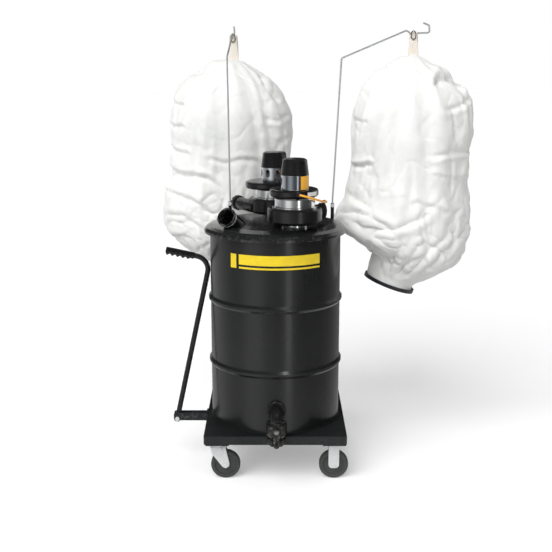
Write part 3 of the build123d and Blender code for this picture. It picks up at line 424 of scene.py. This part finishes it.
# folds seen on the front of each bag: points along the fold as (x, z), then how deep it is,
# how wide, and how far the cloth stands proud just beside it (on the side given by its sign)
FOLDS = {
    "right": [
        ([(0.705, 1.690), (0.730, 1.712), (0.775, 1.700), (0.822, 1.668)], 0.034, 0.018, 0.018),
        ([(0.700, 1.680), (0.716, 1.700)], 0.014, 0.012, 0.008),
        ([(0.860, 1.610), (0.820, 1.590), (0.780, 1.575), (0.745, 1.572)], 0.016, 0.012, 0.010),
        ([(0.770, 1.575), (0.790, 1.500), (0.795, 1.440)], 0.012, 0.012, -0.008),
        ([(0.355, 1.520), (0.378, 1.510), (0.398, 1.512)], 0.016, 0.008, 0.006),
        ([(0.350, 1.312), (0.385, 1.318), (0.415, 1.330)], 0.026, 0.011, 0.016),
        ([(0.865, 1.380), (0.800, 1.384), (0.740, 1.380), (0.690, 1.370)], 0.014, 0.013, 0.012),
        ([(0.782, 1.350), (0.779, 1.280), (0.783, 1.215)], 0.014, 0.008, 0.006),
        ([(0.700, 1.290), (0.780, 1.268), (0.850, 1.262)], 0.008, 0.010, 0.007),
        ([(0.300, 1.105), (0.350, 1.118), (0.410, 1.108), (0.460, 1.080), (0.500, 1.062)],
         0.014, 0.014, 0.012),
        ([(0.340, 1.180), (0.400, 1.150), (0.430, 1.120)], 0.012, 0.014, -0.008),
        ([(0.360, 1.060), (0.420, 1.040), (0.500, 1.045), (0.580, 1.070), (0.660, 1.110)],
         0.015, 0.016, -0.012),
        ([(0.420, 0.985), (0.470, 0.960), (0.500, 0.920), (0.520, 0.870)], 0.014, 0.012, 0.010),
        ([(0.560, 1.030), (0.560, 0.980), (0.540, 0.920), (0.528, 0.850)], 0.012, 0.012, 0.009),
        ([(0.640, 0.990), (0.610, 0.940), (0.580, 0.880), (0.560, 0.830)], 0.013, 0.013, -0.009),
        ([(0.760, 1.010), (0.700, 0.960), (0.650, 0.900), (0.600, 0.830)], 0.015, 0.014, 0.011),
        ([(0.860, 1.020), (0.800, 0.970), (0.740, 0.930), (0.700, 0.880)], 0.016, 0.015, 0.012),
        ([(0.820, 1.120), (0.800, 1.060), (0.810, 1.000)], 0.010, 0.012, 0.008),
        ([(0.620, 1.170), (0.690, 1.150), (0.760, 1.120)], 0.008, 0.014, 0.008),
        ([(0.470, 0.900), (0.490, 0.850), (0.500, 0.800)], 0.008, 0.008, 0.005),
    ],
    "left": [
        ([(-0.500, 1.590), (-0.468, 1.575), (-0.430, 1.572)], 0.016, 0.010, 0.008),
        ([(-0.505, 1.480), (-0.480, 1.470), (-0.440, 1.475)], 0.018, 0.010, 0.010),
        ([(-0.500, 1.370), (-0.470, 1.352), (-0.420, 1.350)], 0.020, 0.012, 0.012),
        ([(-0.490, 1.265), (-0.440, 1.245), (-0.380, 1.250), (-0.320, 1.240)], 0.018, 0.014, 0.012),
        ([(-0.530, 1.160), (-0.450, 1.150), (-0.360, 1.120), (-0.290, 1.070)], 0.014, 0.014, 0.010),
        ([(-0.520, 1.050), (-0.440, 1.060), (-0.380, 1.020), (-0.330, 0.960)], 0.014, 0.014, 0.010),
        ([(-0.470, 0.960), (-0.400, 0.950), (-0.340, 0.900)], 0.014, 0.012, 0.010),
        ([(-0.060, 1.700), (-0.040, 1.640), (0.010, 1.600)], 0.016, 0.014, 0.010),
        ([(0.060, 1.520), (0.010, 1.500), (-0.040, 1.510)], 0.012, 0.012, 0.008),
        ([(0.070, 1.420), (0.020, 1.400), (-0.010, 1.340)], 0.012, 0.012, 0.008),
        ([(-0.300, 1.330), (-0.230, 1.310), (-0.160, 1.330), (-0.090, 1.320)], 0.010, 0.013, 0.008),
        ([(-0.330, 1.250), (-0.260, 1.200), (-0.230, 1.130)], 0.012, 0.013, 0.008),
    ],
}
# how much of each fold's depth, width and standing cloth is used
CREASE_SHARE = 0.85
CREASE_WIDTH = 0.8
BULGE_SHARE = 0.7


def segment_distance(x, z, start, end):
    """Distance from points to a line segment in the front view, and which side of it they are on."""
    ahead = np.array(end) - np.array(start)
    length = np.hypot(*ahead)
    ahead = ahead / length
    along = (x - start[0]) * ahead[0] + (z - start[1]) * ahead[1]
    side = -(x - start[0]) * ahead[1] + (z - start[1]) * ahead[0]
    over = np.maximum(0, np.maximum(-along, along - length))
    return np.hypot(side, over), np.sign(side)


def fold_height(side, points, middle_y):
    """How far the modelled folds push each point of the front half in or out."""
    x, y, z = points[..., 0], points[..., 1], points[..., 2]
    front = np.clip((middle_y + 0.03 - y) / 0.06, 0, 1)
    total = np.zeros(x.shape)
    for line, depth, width, lip in FOLDS[side]:
        nearest = np.full(x.shape, 9.0)
        sign = np.ones(x.shape)
        for start, end in zip(line, line[1:]):
            distance, which = segment_distance(x, z, start, end)
            closer = distance < nearest
            nearest = np.where(closer, distance, nearest)
            sign = np.where(closer, which, sign)
        crease = -CREASE_SHARE * depth * np.exp(-(nearest / (CREASE_WIDTH * width)))
        bulge = BULGE_SHARE * abs(lip) * np.exp(-((nearest - 1.5 * width) / width) ** 2)
        total += crease + np.where(sign * math.copysign(1, lip) > 0, bulge, 0.25 * bulge)
    return total * front


def blurred(field, passes, size):
    """A grid field smoothed along rows and round the columns."""
    result = field.copy()
    kernel = 2 * size + 1
    for _ in range(passes):
        total = np.zeros(result.shape)
        for shift in range(-size, size + 1):
            total += np.roll(result, shift, axis=1)
        result = total / kernel
        padded_rows = np.concatenate([result[:1]] * size + [result] + [result[-1:]] * size)
        total = np.zeros(result.shape)
        for shift in range(kernel):
            total += padded_rows[shift:shift + len(result)]
        result = total / kernel
    return result


def bag_target(bag):
    """Rows of points of the smooth bag, from the neck to the lower edge of its ring."""
    sections = []
    for z, left, right, depth, tilt in bag["rows"]:
        sections.append(((left + right) / 2, bag["y"], z, (right - left) / 2, depth, tilt))
    angle = math.radians(bag["tilt"])
    centre = Vector(bag["ring"])
    up = Vector((math.sin(angle), 0, math.cos(angle)))
    for rise in RING_RISES:
        point = centre + up * rise
        radius = RING_RADIUS + RING_FLARE * max(0.0, rise - RING_RISES[1]) / 0.021
        sections.append((point.x, point.y, point.z, radius, radius, bag["tilt"]))
    lists = [Vector(section[:3]) for section in sections]
    shapes = [Vector(section[3:]) for section in sections]
    lengths = [0.0]
    for before, after in zip(sections, sections[1:]):
        step = math.hypot(after[2] - before[2], after[3] - before[3])
        lengths.append(lengths[-1] + max(step, 0.004))
    rows = []
    for row in range(BAG_ROWS):
        wanted = lengths[-1] * row / (BAG_ROWS - 1)
        index = 0
        while index < len(lengths) - 2 and lengths[index + 1] < wanted:
            index += 1
        position = index + (wanted - lengths[index]) / (lengths[index + 1] - lengths[index])
        position = min(max(position, 0.0), len(sections) - 1)
        middle = catmull(lists, position)
        shape = catmull(shapes, position)
        tilt = math.radians(shape.z)
        ring = []
        for column in range(BAG_COLUMNS):
            turn = 2 * math.pi * column / BAG_COLUMNS
            across = max(shape.x, LEAST_RADIUS) * math.cos(turn)
            deep = max(shape.y, LEAST_RADIUS) * math.sin(turn)
            ring.append(middle + Vector((across * math.cos(tilt), deep, -across * math.sin(tilt))))
        rows.append(ring)
    return rows


def grid_normals(points):
    """Outward normals of a grid that is closed round its columns."""
    around = np.roll(points, -1, axis=1) - np.roll(points, 1, axis=1)
    down = np.gradient(points, axis=0)
    normal = np.cross(around, -down)
    normal /= np.maximum(np.linalg.norm(normal, axis=2, keepdims=True), 1e-9)
    middle = points.mean(axis=1, keepdims=True)
    outward = ((points - middle) * normal).sum(axis=2).mean()
    return normal if outward > 0 else -normal


def crumple(piece, bag, offset):
    """Small sharp creases, as in cloth that has been folded: valleys where a warped noise crosses zero."""
    low = bag["ring"][2] + 0.045
    high = bag["rows"][1][0]
    points = [vertex.co.copy() for vertex in piece.data.vertices]
    normals = [vertex.normal.copy() for vertex in piece.data.vertices]
    middle = sum(points, Vector()) / len(points)
    way = 1 if sum((point - middle).dot(normal) for point, normal in zip(points, normals)) > 0 else -1
    for vertex, point, normal in zip(piece.data.vertices, points, normals):
        seed = Vector((point.x, point.y, 0.8 * point.z)) + Vector((offset, 0.3 * offset, 2.0))
        warp = Vector((noise.noise(seed * 5.0), noise.noise(seed * 5.0 + Vector((7, 3, 1))),
                       noise.noise(seed * 5.0 + Vector((2, 9, 4))))) * 0.05
        broad = abs(noise.noise((seed + warp) * 8.5))
        fine = abs(noise.noise((seed + warp) * 19.0 + Vector((4, 4, 4))))
        lower = min(1.0, max(0.0, (1.25 - point.z) / 0.25))
        height = ((BROAD_CREASE[0] + BROAD_CREASE[1] * lower) * min(broad / 0.16, 1.0) ** 0.6
                  + (FINE_CREASE[0] + FINE_CREASE[1] * lower) * min(fine / 0.2, 1.0) ** 0.7)
        fade = min(1.0, max(0.0, (point.z - low) / 0.05)) * min(1.0, max(0.0, (high - point.z) / 0.06))
        vertex.co = point + normal * (way * fade * (height - CREASE_MIDDLE))


def close_top(piece):
    """Gather the cloth inside the first ring of a bag into a low crown."""
    work = bmesh.new()
    work.from_mesh(piece.data)
    work.verts.ensure_lookup_table()
    ring = list(work.verts[:BAG_COLUMNS])
    middle = sum((vertex.co for vertex in ring), Vector()) / BAG_COLUMNS
    joined = work.edges.get((ring[0], ring[1]))
    outer = [vertex.co.copy() for vertex in ring]
    new_faces = []
    for share, rise in TOP_RINGS:
        lift = Vector((0, 0, rise))
        inner = [work.verts.new(middle + (point - middle) * share + lift) for point in outer]
        for index in range(BAG_COLUMNS):
            following = (index + 1) % BAG_COLUMNS
            new_faces.append(work.faces.new((ring[index], ring[following], inner[following], inner[index])))
        ring = inner
    new_faces.append(work.faces.new(ring))
    if not joined.is_contiguous:
        bmesh.ops.reverse_faces(work, faces=new_faces)
    work.to_mesh(piece.data)
    work.free()


def make_bag(side):
    """Filter bag: a lofted shell that is let out, filled with air and creased by simulation."""
    bag = BAGS[side]
    rows = bag_target(bag)
    target = np.array([[tuple(point) for point in ring] for ring in rows])
    outward = grid_normals(target)
    from_top = np.arange(BAG_ROWS)
    fade = np.minimum(1.0, np.minimum(from_top / FADE_ROWS, (BAG_ROWS - 1 - from_top) / FADE_ROWS))
    ripple = np.zeros(target.shape[:2])
    offset = 1.7 if side == "right" else 9.2
    for row in range(BAG_ROWS):
        for column in range(BAG_COLUMNS):
            seed = Vector(target[row, column]) * 7.0 + Vector((3.1, 0.0, offset))
            ripple[row, column] = noise.noise(seed) + 0.6 * noise.noise(seed * 2.7)
    start = target + outward * ((RIPPLE_HEIGHT * ripple - RIPPLE_HEIGHT) * fade[:, None])[..., None]
    piece = mesh_object(f"filter_bag_{side}", start.reshape(-1, 3),
                        grid_faces(BAG_ROWS, BAG_COLUMNS), BAG_CLOTH)
    held = piece.vertex_groups.new(name="held")
    held.add(list(range(HELD_TOP_ROWS * BAG_COLUMNS)), 1.0, "REPLACE")
    first_lower = (BAG_ROWS - HELD_LOWER_ROWS) * BAG_COLUMNS
    held.add(list(range(first_lower, BAG_ROWS * BAG_COLUMNS)), 1.0, "REPLACE")
    simulation = piece.modifiers.new("cloth", "CLOTH")
    settings = simulation.settings
    settings.quality = 5
    settings.mass = 0.3
    settings.tension_stiffness = 25
    settings.compression_stiffness = 25
    settings.shear_stiffness = 8
    settings.bending_stiffness = 0.08
    settings.tension_damping = 12
    settings.compression_damping = 12
    settings.air_damping = 2.0
    settings.vertex_group_mass = "held"
    settings.shrink_min = -0.10
    settings.use_pressure = True
    settings.uniform_pressure_force = 2.4
    settings.effector_weights.gravity = 0.6
    simulation.collision_settings.use_collision = False
    simulation.collision_settings.use_self_collision = False
    for step in range(1, CLOTH_STEPS + 1):
        bpy.context.scene.frame_set(step)
    apply_modifiers(piece)
    bpy.context.scene.frame_set(1)
    moved = np.zeros(len(piece.data.vertices) * 3)
    piece.data.vertices.foreach_get("co", moved)
    moved = moved.reshape(target.shape)
    wrinkle = ((moved - target) * outward).sum(axis=2)
    wrinkle = wrinkle - blurred(wrinkle, 3, 6)
    wrinkle = WRINKLE_LIMIT * np.tanh(0.5 * wrinkle / WRINKLE_LIMIT)
    folds = fold_height(side, target, bag["y"])
    final = target + outward * ((wrinkle + folds) * fade[:, None])[..., None]
    piece.data.vertices.foreach_set("co", final.ravel())
    piece.data.update()
    close_top(piece)
    piece.data.polygons.foreach_set("use_smooth", [True] * len(piece.data.polygons))
    smooth = piece.modifiers.new("finer", "SUBSURF")
    smooth.levels = 1
    smooth.render_levels = 1
    apply_modifiers(piece)
    crumple(piece, bag, offset)
    thick = piece.modifiers.new("thickness", "SOLIDIFY")
    thick.thickness = CLOTH_THICKNESS
    thick.offset = -1
    apply_modifiers(piece)
    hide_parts(f"bag_{side}")
    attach(piece, bag["body"])
    return piece


for side in ("right", "left"):
    make_bag(side)


# ---- straps and clips that hang the bags ------------------------------------------------
STRAP_HALF_WIDTH = 0.0165
STRAP_FLARE = 0.007
STRAP_THICKNESS = 0.0022
STRAP_STEPS = 8
STRAP_DEPTH_IN_BAG = 0.03
CLIP_RADIUS = 0.0021
CLIP_POINTS = 12


def ribbon(name, spine, half_widths, thickness, side, material):
    """A flat strap along a line of points, widest along side."""
    side = Vector(side).normalized()
    vertices = []
    for index, point in enumerate(spine):
        point = Vector(point)
        ahead = Vector(spine[min(index + 1, len(spine) - 1)]) - Vector(spine[max(index - 1, 0)])
        out = ahead.normalized().cross(side).normalized()
        half = half_widths[index]
        for across, through in ((-1, -1), (-0.5, -1), (0, -1), (0.5, -1), (1, -1),
                                (1, 1), (0.5, 1), (0, 1), (-0.5, 1), (-1, 1)):
            vertices.append(point + side * across * half + out * through * thickness / 2)
    columns = 10
    faces = grid_faces(len(spine), columns)
    faces.append(tuple(range(columns))[::-1])
    faces.append(tuple((len(spine) - 1) * columns + step for step in range(columns)))
    piece = mesh_object(name, vertices, faces, material)
    weld_and_face_out(piece)
    return piece


def wire(name, points, radius, material, cyclic=False):
    """A round wire along smooth control points, as mesh."""
    curve = bpy.data.curves.new(name, "CURVE")
    curve.dimensions = "3D"
    spline = curve.splines.new("NURBS")
    spline.points.add(len(points) - 1)
    for target, point in zip(spline.points, points):
        target.co = (*point, 1)
    spline.order_u = 3
    spline.use_cyclic_u = cyclic
    spline.use_endpoint_u = not cyclic
    curve.bevel_depth = radius
    curve.bevel_resolution = 4
    curve.resolution_u = 8
    curve.use_fill_caps = True
    curve_object = bpy.data.objects.new(name, curve)
    bpy.context.collection.objects.link(curve_object)
    graph = bpy.context.evaluated_depsgraph_get()
    graph.update()
    mesh = bpy.data.meshes.new_from_object(curve_object.evaluated_get(graph), depsgraph=graph)
    bpy.data.objects.remove(curve_object)
    piece = bpy.data.objects.new(name, mesh)
    mesh.materials.clear()
    mesh.materials.append(material)
    mesh.polygons.foreach_set("use_smooth", [True] * len(mesh.polygons))
    bpy.context.collection.objects.link(piece)
    return piece


def make_strap(side):
    """Cloth strap looped over the rod above the bag, with a wire clip at its top."""
    bag = BAGS[side]
    x, y, low, rod_level = bag["strap"]
    base = Vector((x, y, 0))
    top = Vector((x, y, rod_level + 0.006))
    spine = []
    foot = low - STRAP_DEPTH_IN_BAG
    for step in range(STRAP_STEPS + 1):
        t = step / STRAP_STEPS
        sway = 0.003 * math.sin(3.1 * t + 0.6)
        level = foot + (rod_level + 0.001 - foot) * t
        spine.append(base + Vector((sway, -0.009 + 0.004 * t, level)))
    for step in range(1, 6):
        turn = math.pi * step / 6
        spine.append(top + Vector((0.001, -0.0065 * math.cos(turn), 0.0055 * math.sin(turn) - 0.003)))
    for step in range(STRAP_STEPS + 1):
        t = 1 - step / STRAP_STEPS
        sway = 0.004 * math.sin(2.3 * t)
        level = foot + (rod_level + 0.001 - foot) * t
        spine.append(base + Vector((sway, 0.009 - 0.004 * t, level)))
    middle = len(spine) // 2
    widths = [STRAP_HALF_WIDTH + STRAP_FLARE * abs(index - middle) / middle for index in range(len(spine))]
    strap = ribbon(f"bag_strap_{side}", spine, widths, STRAP_THICKNESS, (1, 0, 0), STRAP_CLOTH)
    smooth = strap.modifiers.new("finer", "SUBSURF")
    smooth.levels = smooth.render_levels = 1
    apply_modifiers(strap)
    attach(strap, bag["body"])
    loop = []
    for step in range(CLIP_POINTS):
        turn = 2 * math.pi * step / CLIP_POINTS
        loop.append(base + Vector((0.011 * math.cos(turn), -0.012 - 0.002 * math.sin(turn),
                                   rod_level - 0.008 + 0.019 * math.sin(turn))))
    clip = wire(f"strap_clip_{side}", loop, CLIP_RADIUS, CLIP_WIRE, cyclic=True)
    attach(clip, bag["body"])


for side in ("right", "left"):
    make_strap(side)


# ---- drum badge ----------------------------------------------------------------------
DRUM_SKIN = 0.2868
PATCH_THICKNESS = 0.0004


def drum_patch(name, low, high, left, right, material):
    """A thin printed patch that follows the front of the drum."""
    vertices = []
    rows, columns = 4, 40
    for layer in (0, 1):
        for row in range(rows):
            z = low + (high - low) * row / (rows - 1)
            for column in range(columns):
                x = left + (right - left) * column / (columns - 1)
                turn = math.asin(x / DRUM_SKIN)
                reach = DRUM_SKIN + PATCH_THICKNESS * layer
                vertices.append((reach * math.sin(turn), -reach * math.cos(turn), z))
    front = rows * columns
    faces = []
    for row in range(rows - 1):
        for column in range(columns - 1):
            a = row * columns + column
            quad = (a, a + 1, a + columns + 1, a + columns)
            faces.append(quad[::-1])
            faces.append(tuple(front + index for index in quad))
    edge = ([(0, column) for column in range(columns)] + [(row, columns - 1) for row in range(1, rows)]
            + [(rows - 1, column) for column in range(columns - 2, -1, -1)]
            + [(row, 0) for row in range(rows - 2, 0, -1)])
    loop = [row * columns + column for row, column in edge]
    for a, b in zip(loop, loop[1:] + loop[:1]):
        faces.append((a, b, front + b, front + a))
    piece = mesh_object(name, vertices, faces, material)
    weld_and_face_out(piece)
    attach(piece, "chassis")
    return piece


drum_patch("badge_bar", 0.9505, 0.9935, -0.152, 0.186, LABEL_YELLOW)
drum_patch("badge_stripe", 0.9335, 0.9415, -0.152, 0.186, LABEL_YELLOW)
drum_patch("badge_block", 0.9335, 0.9935, -0.1865, -0.163, LABEL_YELLOW)


# ---- motor labels, a plate with painted reflection and a disc patch ------------------
LABEL_GAP = 0.0003


def wall_patch(name, centre, radius, low, high, start, end, material, body):
    """A thin sheet wrapped round an upright cylinder between two angles in degrees."""
    columns = 24
    vertices = []
    for layer in (0, 1):
        for z in (low, high):
            for column in range(columns):
                turn = math.radians(start + (end - start) * column / (columns - 1))
                reach = radius + LABEL_GAP + PATCH_THICKNESS * layer
                vertices.append((centre[0] + reach * math.cos(turn), centre[1] + reach * math.sin(turn), z))
    faces = []
    back = 2 * columns
    for column in range(columns - 1):
        faces.append((column, column + columns, column + columns + 1, column + 1))
        faces.append((back + column, back + column + 1,
                      back + column + columns + 1, back + column + columns))
        faces.append((column, column + 1, back + column + 1, back + column))
        faces.append((column + columns, back + column + columns,
                      back + column + columns + 1, column + columns + 1))
    faces.append((0, back, back + columns, columns))
    faces.append((columns - 1, 2 * columns - 1, back + 2 * columns - 1, back + columns - 1))
    piece = mesh_object(name, vertices, faces, material)
    weld_and_face_out(piece)
    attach(piece, body)
    return piece


FRONT_MOTOR = (0.082, -0.145)
FRONT_DISC = (0.0793, -0.1182)
CAN_RADIUS = 0.0587
DISC_RADIUS = 0.1042
wall_patch("motor_label", FRONT_MOTOR, CAN_RADIUS, 1.2565, 1.3125, -66, 18,
           LABEL_ORANGE, "lid")
# a metal plate over two of the front can's vents; its tone, darker than the can, is painted reflection of
# the dim room
wall_patch("motor_plate_painted_dark_reflection", FRONT_MOTOR, CAN_RADIUS, 1.2565, 1.3125, -131, -66.5,
           DARK_REFLECTION_PLATE_METAL, "lid")
# a thin white patch wrapped round part of the front cooling disc's side
wall_patch("disc_white_patch", FRONT_DISC, DISC_RADIUS, 1.2300, 1.2465, -58, -27,
           WHITE_DISC_PATCH, "lid")


# ---- handle grip ---------------------------------------------------------------------
GRIP_START = Vector((-0.478, 0, 0.964))
GRIP_WAY = (Vector((-0.287, 0, 0.924)) - GRIP_START).normalized()
GRIP_LENGTH = 0.124
GRIP_RADIUS = 0.0148
GRIP_BORE = 0.0117
FINGER_SPACING = 0.0235
FINGER_SWELL = 0.0068


def make_grip():
    """Rubber grip pushed over the tube: a rounded end and finger ridges underneath."""
    down = Vector((0, 1, 0)).cross(GRIP_WAY)
    if down.z > 0:
        down = -down
    side = Vector((0, 1, 0))
    profile = [(-0.0045, 0.0), (-0.0045, 0.009), (-0.0038, 0.012), (-0.002, 0.0140), (0.0005, GRIP_RADIUS)]
    count = 96
    for step in range(1, count):
        profile.append((0.0005 + (GRIP_LENGTH - 0.006) * step / count, GRIP_RADIUS))
    profile += [(GRIP_LENGTH - 0.004, 0.0144), (GRIP_LENGTH - 0.001, 0.0134), (GRIP_LENGTH, 0.0128),
                (GRIP_LENGTH, GRIP_BORE), (0.0004, GRIP_BORE), (0.0004, 0.0)]
    columns = 48
    vertices = []
    for along, radius in profile:
        swell = 0.0
        if radius > 0.0139 and -0.003 < along < GRIP_LENGTH - 0.002:
            wave = 0.5 + 0.5 * math.cos(2 * math.pi * (along - 0.004) / FINGER_SPACING)
            ends = min(1.0, (along + 0.003) / 0.004) * min(1.0, (GRIP_LENGTH - along) / 0.03)
            swell = FINGER_SWELL * wave ** 1.3 * ends
        for column in range(columns):
            turn = 2 * math.pi * column / columns
            under = max(0.0, math.cos(turn)) ** 1.3
            reach = radius + swell * under
            vertices.append(GRIP_START + GRIP_WAY * along + down * (reach * math.cos(turn))
                            + side * (reach * math.sin(turn)))
    piece = mesh_object("handle_grip", vertices, grid_faces(len(profile), columns), GLOSS_MOULD)
    weld_and_face_out(piece)
    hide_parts("tow_handle_grip")
    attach(piece, "tow_handle")


make_grip()


# ---- light, floor --------------------------------------------------------------------
def area_light(name, place, aim, size, power):
    """A soft rectangular lamp."""
    data = bpy.data.lights.new(name, "AREA")
    data.shape = "RECTANGLE"
    data.size, data.size_y = size
    data.energy = power
    lamp = bpy.data.objects.new(name, data)
    lamp.location = place
    lamp.rotation_euler = (Vector(aim) - Vector(place)).to_track_quat("-Z", "Y").to_euler()
    bpy.context.collection.objects.link(lamp)
    return lamp


SUN_POWER = 2.85
SUN_SPREAD = 50
SUN_FROM = Vector((-0.55, -0.85, 1.05))
ROOM_LIGHT = 0.31
STRIP_POWER = 0.9
FLOOR_GLOW = 0.32
FLOOR_REACH = 40

bpy.context.scene.view_settings.view_transform = "Standard"
world = bpy.data.worlds.new("world")
bpy.context.scene.world = world
world.use_nodes = True
sky = world.node_tree
background = sky.nodes["Background"]
parts = sky.nodes.new("ShaderNodeSeparateXYZ")
sky.links.new(sky.nodes.new("ShaderNodeTexCoord").outputs["Generated"], parts.inputs["Vector"])


def grey(stops):
    """Ramp stops from (position, brightness) pairs."""
    return [(position, (value, value, value)) for position, value in stops]


def math_node(tree, operation, first, second):
    """A maths node on two sockets, or a socket and a number."""
    node = tree.nodes.new("ShaderNodeMath")
    node.operation = operation
    for slot, value in zip(node.inputs, (first, second)):
        if isinstance(value, (int, float)):
            slot.default_value = value
        else:
            tree.links.new(value, slot)
    return node.outputs[0]


# what glossy surfaces see: a dim room with a soft patch left of the camera, a bright strip just
# right of it, a grey wall behind the object, a pale floor and a dim ceiling; going round, 0 and 1
# are behind the object and 0.5 is the camera
behind = math_node(sky, "MULTIPLY", parts.outputs["Y"], -1.0)
turn = math_node(sky, "ARCTAN2", parts.outputs["X"], behind)
around = map_range(sky, turn, -math.pi, math.pi, 0, 1)
level = ramp(sky, around, grey([(0.0, 0.3), (0.12, 0.55), (0.2, 0.5), (0.28, 0.22), (0.33, 0.3), (0.37, 0.8),
                                (0.42, 0.8), (0.46, 0.3), (0.5, 0.16), (0.545, 0.16), (0.555, 1.0),
                                (0.575, 1.0), (0.585, 0.12), (0.65, 0.04), (0.74, 0.05), (0.8, 0.14),
                                (0.88, 0.3), (1.0, 0.22)]))
boost = ramp(sky, around, grey([(0.0, 0.0), (0.548, 0.0), (0.556, 1.0), (0.574, 1.0), (0.582, 0.0),
                                (1.0, 0.0)]))
height = map_range(sky, parts.outputs["Z"], -1, 1, 0, 1)
band = ramp(sky, height, grey([(0.0, 0.0), (0.3, 0.25), (0.36, 0.8), (0.42, 1.0), (0.5, 1.0), (0.53, 0.1),
                               (0.7, 0.0)]))
above = ramp(sky, height, grey([(0.0, 0.75), (0.3, 0.55), (0.36, 0.0), (0.66, 0.03), (0.8, 0.07),
                                (1.0, 0.12)]))
strip = math_node(sky, "MULTIPLY", math_node(sky, "MULTIPLY", boost, STRIP_POWER), band)
studio = math_node(sky, "ADD", math_node(sky, "ADD", math_node(sky, "MULTIPLY", level, band), strip), above)
ray = sky.nodes.new("ShaderNodeLightPath")


def pick(tree, switch, off, on):
    """One value or another, by a switch of 0 or 1."""
    node = tree.nodes.new("ShaderNodeMix")
    tree.links.new(switch, node.inputs["Factor"])
    for slot, value in ((node.inputs[2], off), (node.inputs[3], on)):
        if isinstance(value, (int, float)):
            slot.default_value = value
        else:
            tree.links.new(value, slot)
    return node.outputs[0]


glow = pick(sky, ray.outputs["Is Glossy Ray"], ROOM_LIGHT, studio)
sky.links.new(pick(sky, ray.outputs["Is Camera Ray"], glow, 1.0), background.inputs["Strength"])
background.inputs["Color"].default_value = (1, 1, 1, 1)

sun_data = bpy.data.lights.new("key", "SUN")
sun_data.energy = SUN_POWER
sun_data.angle = math.radians(SUN_SPREAD)
sun = bpy.data.objects.new("key", sun_data)
sun.rotation_euler = (-SUN_FROM).to_track_quat("-Z", "Y").to_euler()
sun.visible_glossy = False
bpy.context.collection.objects.link(sun)
area_light("glint", (0.9, -2.2, 3.4), (0.0, -0.2, 0.9), (0.45, 0.45), 7)

floor_material, floor_shader, floor_tree = new_material("floor")
floor_shader.inputs["Base Color"].default_value = (0.75, 0.75, 0.75, 1)
floor_shader.inputs["Roughness"].default_value = 0.9
floor_shader.inputs["Specular IOR Level"].default_value = 0.1
floor_shader.inputs["Emission Color"].default_value = (1, 1, 1, 1)
floor_ray = floor_tree.nodes.new("ShaderNodeLightPath")
floor_tree.links.new(math_node(floor_tree, "MULTIPLY", floor_ray.outputs["Is Camera Ray"], FLOOR_GLOW),
                     floor_shader.inputs["Emission Strength"])
floor_corners = [(FLOOR_REACH * x, FLOOR_REACH * y, 0) for x, y in ((-1, -1), (1, -1), (1, 1), (-1, 1))]
floor = mesh_object("floor", floor_corners, [(0, 1, 2, 3)], floor_material)
floor.visible_glossy = False
